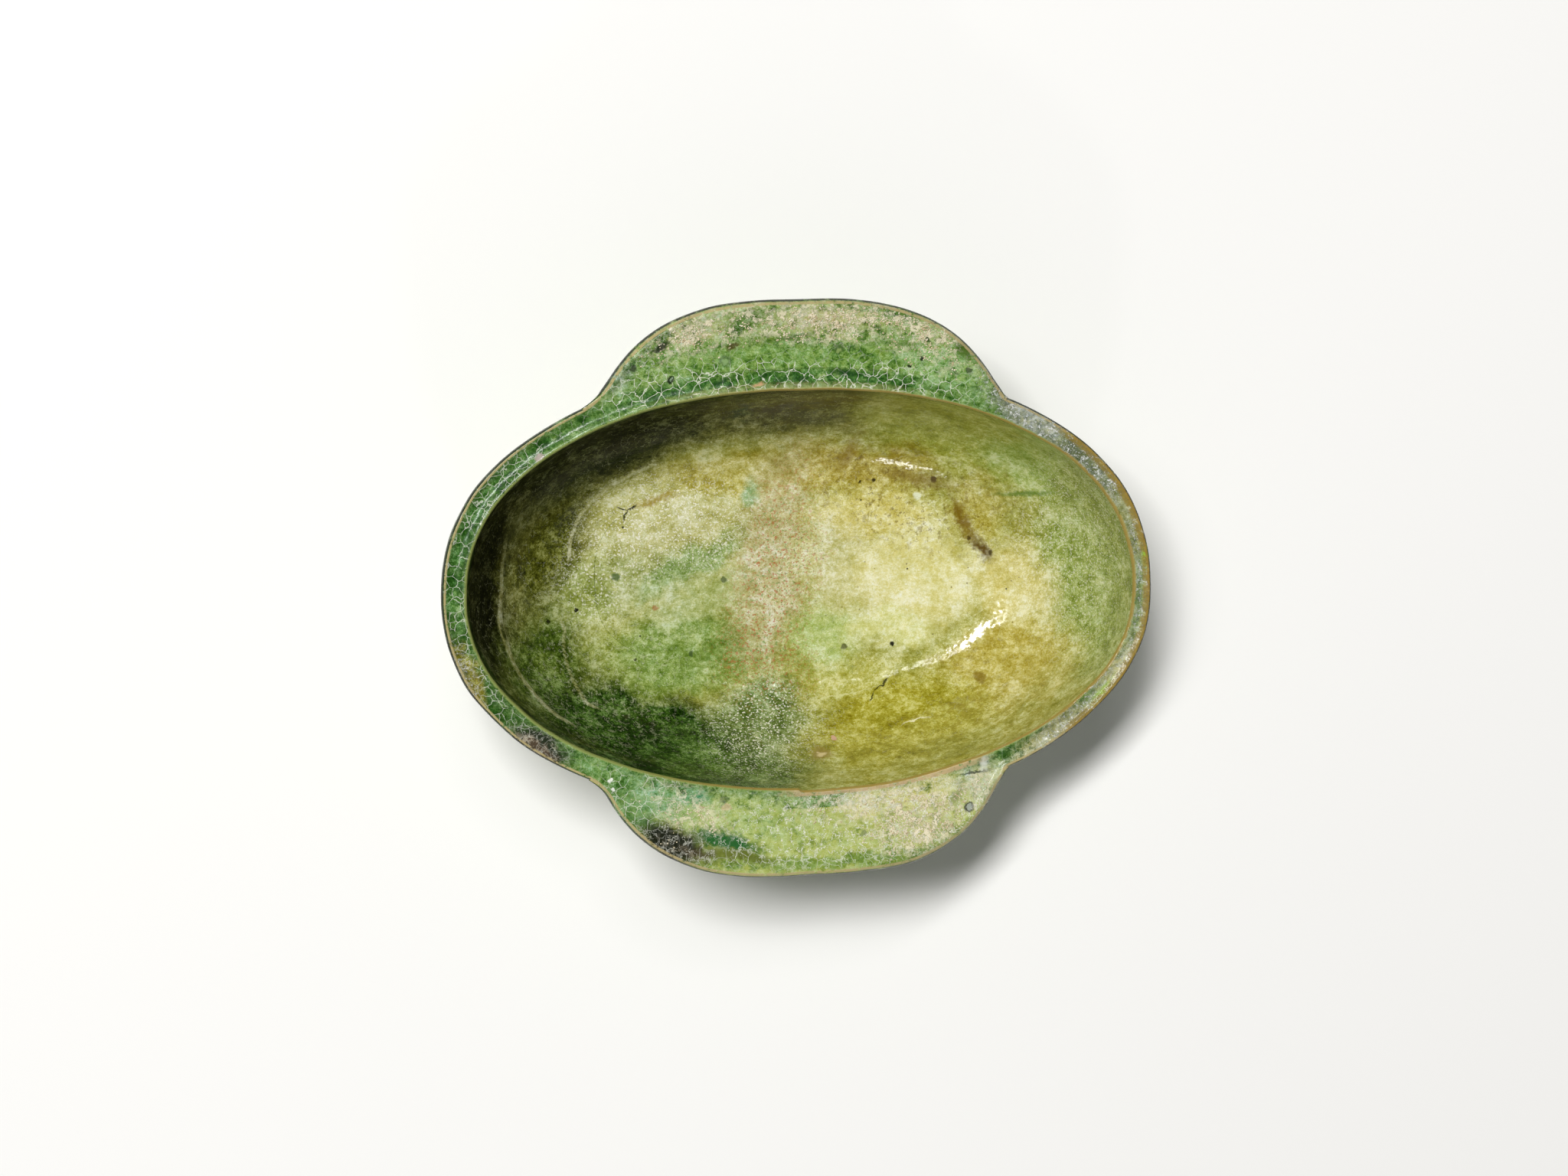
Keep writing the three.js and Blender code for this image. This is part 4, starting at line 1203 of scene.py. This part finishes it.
# The foot: a low oval pad with its edges rubbed round, a shallow hollow under it and slip
# worked into the joint with the bowl. It stands on its tread, which is worn pale.
foot = dict(hollow=0.45, hollowFrom=0.03, hollowSoft=0.74, hollowTo=0.86, edge=0.55, joint=0.6,
            sunk=0.15, sunkIn=0.98, tread=0.94, treadHeight=0.5, hollowRows=20, edgeRows=6,
            sideRows=4, jointRows=6)


def makeFootRing():
    rows, tread = [], []
    treadReach = ovalReach(angles, insetOval(footOval, cup["footTaper"], cup["footTaper"]))
    topReach = ovalReach(angles, footOval)

    def addRow(reach, height):
        rows.append(ringRow(angles, reach, height))
        aside = np.minimum(np.abs(reach - treadReach * foot["tread"]), far)
        tread.append(aside + height / foot["treadHeight"])

    for share in np.linspace(foot["hollowFrom"], 1, foot["hollowRows"]):
        rise = foot["hollow"] * (1 - smoothStep(foot["hollowSoft"], foot["hollowTo"], share))
        addRow((treadReach - foot["edge"]) * share, rise)
    for turn in quarterTurns(foot["edgeRows"]):
        addRow(treadReach - foot["edge"] * (1 - math.sin(turn)), foot["edge"] * (1 - math.cos(turn)))
    sideTop = cup["footHeight"] - foot["joint"]
    for share in np.linspace(0, 1, foot["sideRows"] + 1)[1:]:
        z = foot["edge"] + (sideTop - foot["edge"]) * share
        addRow(treadReach + (topReach - treadReach) * share, z)
    for turn in quarterTurns(foot["jointRows"]):
        spread = foot["joint"] * (1 - math.cos(turn))
        addRow(topReach + spread, sideTop + foot["joint"] * math.sin(turn))
    addRow(topReach * foot["sunkIn"], cup["footHeight"] + foot["sunk"])
    slots = [0] * (len(rows) - 1)
    return skinRows("foot_ring", rows, [bareClay], slots, dict(fromTread=tread))


footRing = makeFootRing()
print("foot skinned:", len(footRing.data.vertices), "points")

for piece, node, slotName in ((bowlShell, "bowl_body", "bowl_glaze"),
                              (earBackSkin, "ear_back", "ear_glaze"),
                              (earFrontSkin, "ear_front", "ear_glaze"),
                              (footRing, "foot_pad", "foot_clay")):
    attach(piece, "root")
    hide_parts(node)
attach(crustCrumbs, "root")

# The stage: a wide pale floor under a sky that is brighter low in front and pale along the horizon
stage = dict(floorHalf=6.0, floor="#faf9f6", floorCloud="#f5f4f0", horizon=0.85, horizonFrom=0.05,
             horizonTo=0.12, bright=0.45, dark=0.03, brightFrom=0.1, brightTo=0.95, towards=-90)


def makeFloor():
    material, tree = newMaterial("matt_white_laminate")
    coordinates = addNode(tree, "TexCoord").outputs["Object"]
    cloud = addNode(tree, "TexNoise", {"Vector": coordinates, "Scale": 3.0, "Detail": 3.0})
    tone = layTones(tree, stage["floor"], [(stage["floorCloud"], 0.4, cloud.outputs["Fac"])])
    finishMaterial(tree, {"Base Color": tone, "Roughness": 0.8})
    half = stage["floorHalf"]
    mesh = bpy.data.meshes.new("stage_floor")
    corners = [(-half, -half, 0), (half, -half, 0), (half, half, 0), (-half, half, 0)]
    mesh.from_pydata(corners, [], [(0, 1, 2, 3)])
    mesh.materials.append(material)
    floor = placeObject("stage_floor", mesh)


def makeSky():
    world = bpy.data.worlds.new("studio_sky")
    bpy.context.scene.world = world
    world.use_nodes = True
    tree = world.node_tree
    tree.nodes.clear()
    direction = addNode(tree, "TexCoord").outputs["Generated"]
    turn = math.radians(stage["towards"])
    aside = addNode(tree, "VectorMath", {0: direction, 1: (math.cos(turn), math.sin(turn), 0.0)},
                    operation="DOT_PRODUCT").outputs["Value"]
    sky = addNode(tree, "MapRange", {0: aside, 1: stage["brightFrom"], 2: stage["brightTo"],
                                     3: stage["dark"], 4: stage["bright"]},
                  interpolation_type="SMOOTHSTEP")
    height = addNode(tree, "SeparateXYZ", {0: direction}).outputs["Z"]
    level = addNode(tree, "MapRange", {0: height, 1: stage["horizonFrom"], 2: stage["horizonTo"],
                                       3: stage["horizon"], 4: sky},
                    interpolation_type="SMOOTHSTEP")
    background = addNode(tree, "Background", {"Color": (1.0, 1.0, 1.0, 1.0), "Strength": level})
    addNode(tree, "OutputWorld", {"Surface": background})


# Lamps: where each stands round the cup, how high, how far, how wide and how strong. The key is
# a softbox at the upper left. A long thin strip beside it draws its highlight out, and a weak lamp
# low in front gives a second one.
lamps = dict(key=dict(azimuth=134, elevation=64.5, distance=1.7, width=0.62, height=0.26, power=23.5),
             strip=dict(azimuth=126, elevation=63, distance=1.7, width=1.4, height=0.1, power=7),
             front=dict(azimuth=-90, elevation=29, distance=0.9, width=0.08, height=0.05, power=0.4))


def addLamp(name, azimuth, elevation, distance, width, height, power):
    turn, rise = math.radians(azimuth), math.radians(elevation)
    level = math.cos(rise)
    outwards = Vector((level * math.cos(turn), level * math.sin(turn), math.sin(rise)))
    light = bpy.data.lights.new(name, "AREA")
    light.shape, light.size, light.size_y, light.energy = "RECTANGLE", width, height, power
    lamp = placeObject(name, light)
    lamp.location = outwards * distance + Vector((0, 0, rimTop / metre))
    lamp.rotation_euler = outwards.to_track_quat("Z", "Y").to_euler()


# The camera looks down on the rim, leaning a little to the left and forwards. It sees what lies
# between near and horizon, in metres.
view = dict(leanX=-8.0, leanY=5.0, distance=490.0, roll=1.0, lens=67.6, sensor=36.0,
            moveRight=-3.02, moveUp=0.24, near=0.01, horizon=50.0)


def addCamera():
    back = Vector((math.tan(math.radians(view["leanX"])), math.tan(math.radians(view["leanY"])), 1))
    back.normalize()
    up = Vector((0, 1, 0)) - back * back.y
    up.normalize()
    right = up.cross(back)
    roll = math.radians(view["roll"])
    up, right = (up * math.cos(roll) + right * math.sin(roll),
                 right * math.cos(roll) - up * math.sin(roll))
    target = Vector((0, 0, rimTop))
    place = target + back * view["distance"] + right * view["moveRight"] + up * view["moveUp"]
    camera = bpy.data.cameras.new("camera")
    camera.lens, camera.sensor_width = view["lens"], view["sensor"]
    camera.clip_start, camera.clip_end = view["near"], view["horizon"]
    eye = placeObject("camera", camera)
    turned = Matrix((right, up, back)).transposed().to_4x4()
    eye.matrix_world = Matrix.Translation(place / metre) @ turned
    bpy.context.scene.camera = eye


makeFloor()
makeSky()
for name, settings in lamps.items():
    addLamp(name, **settings)
addCamera()
bpy.context.scene.view_settings.view_transform = "Standard"
print("stage set")
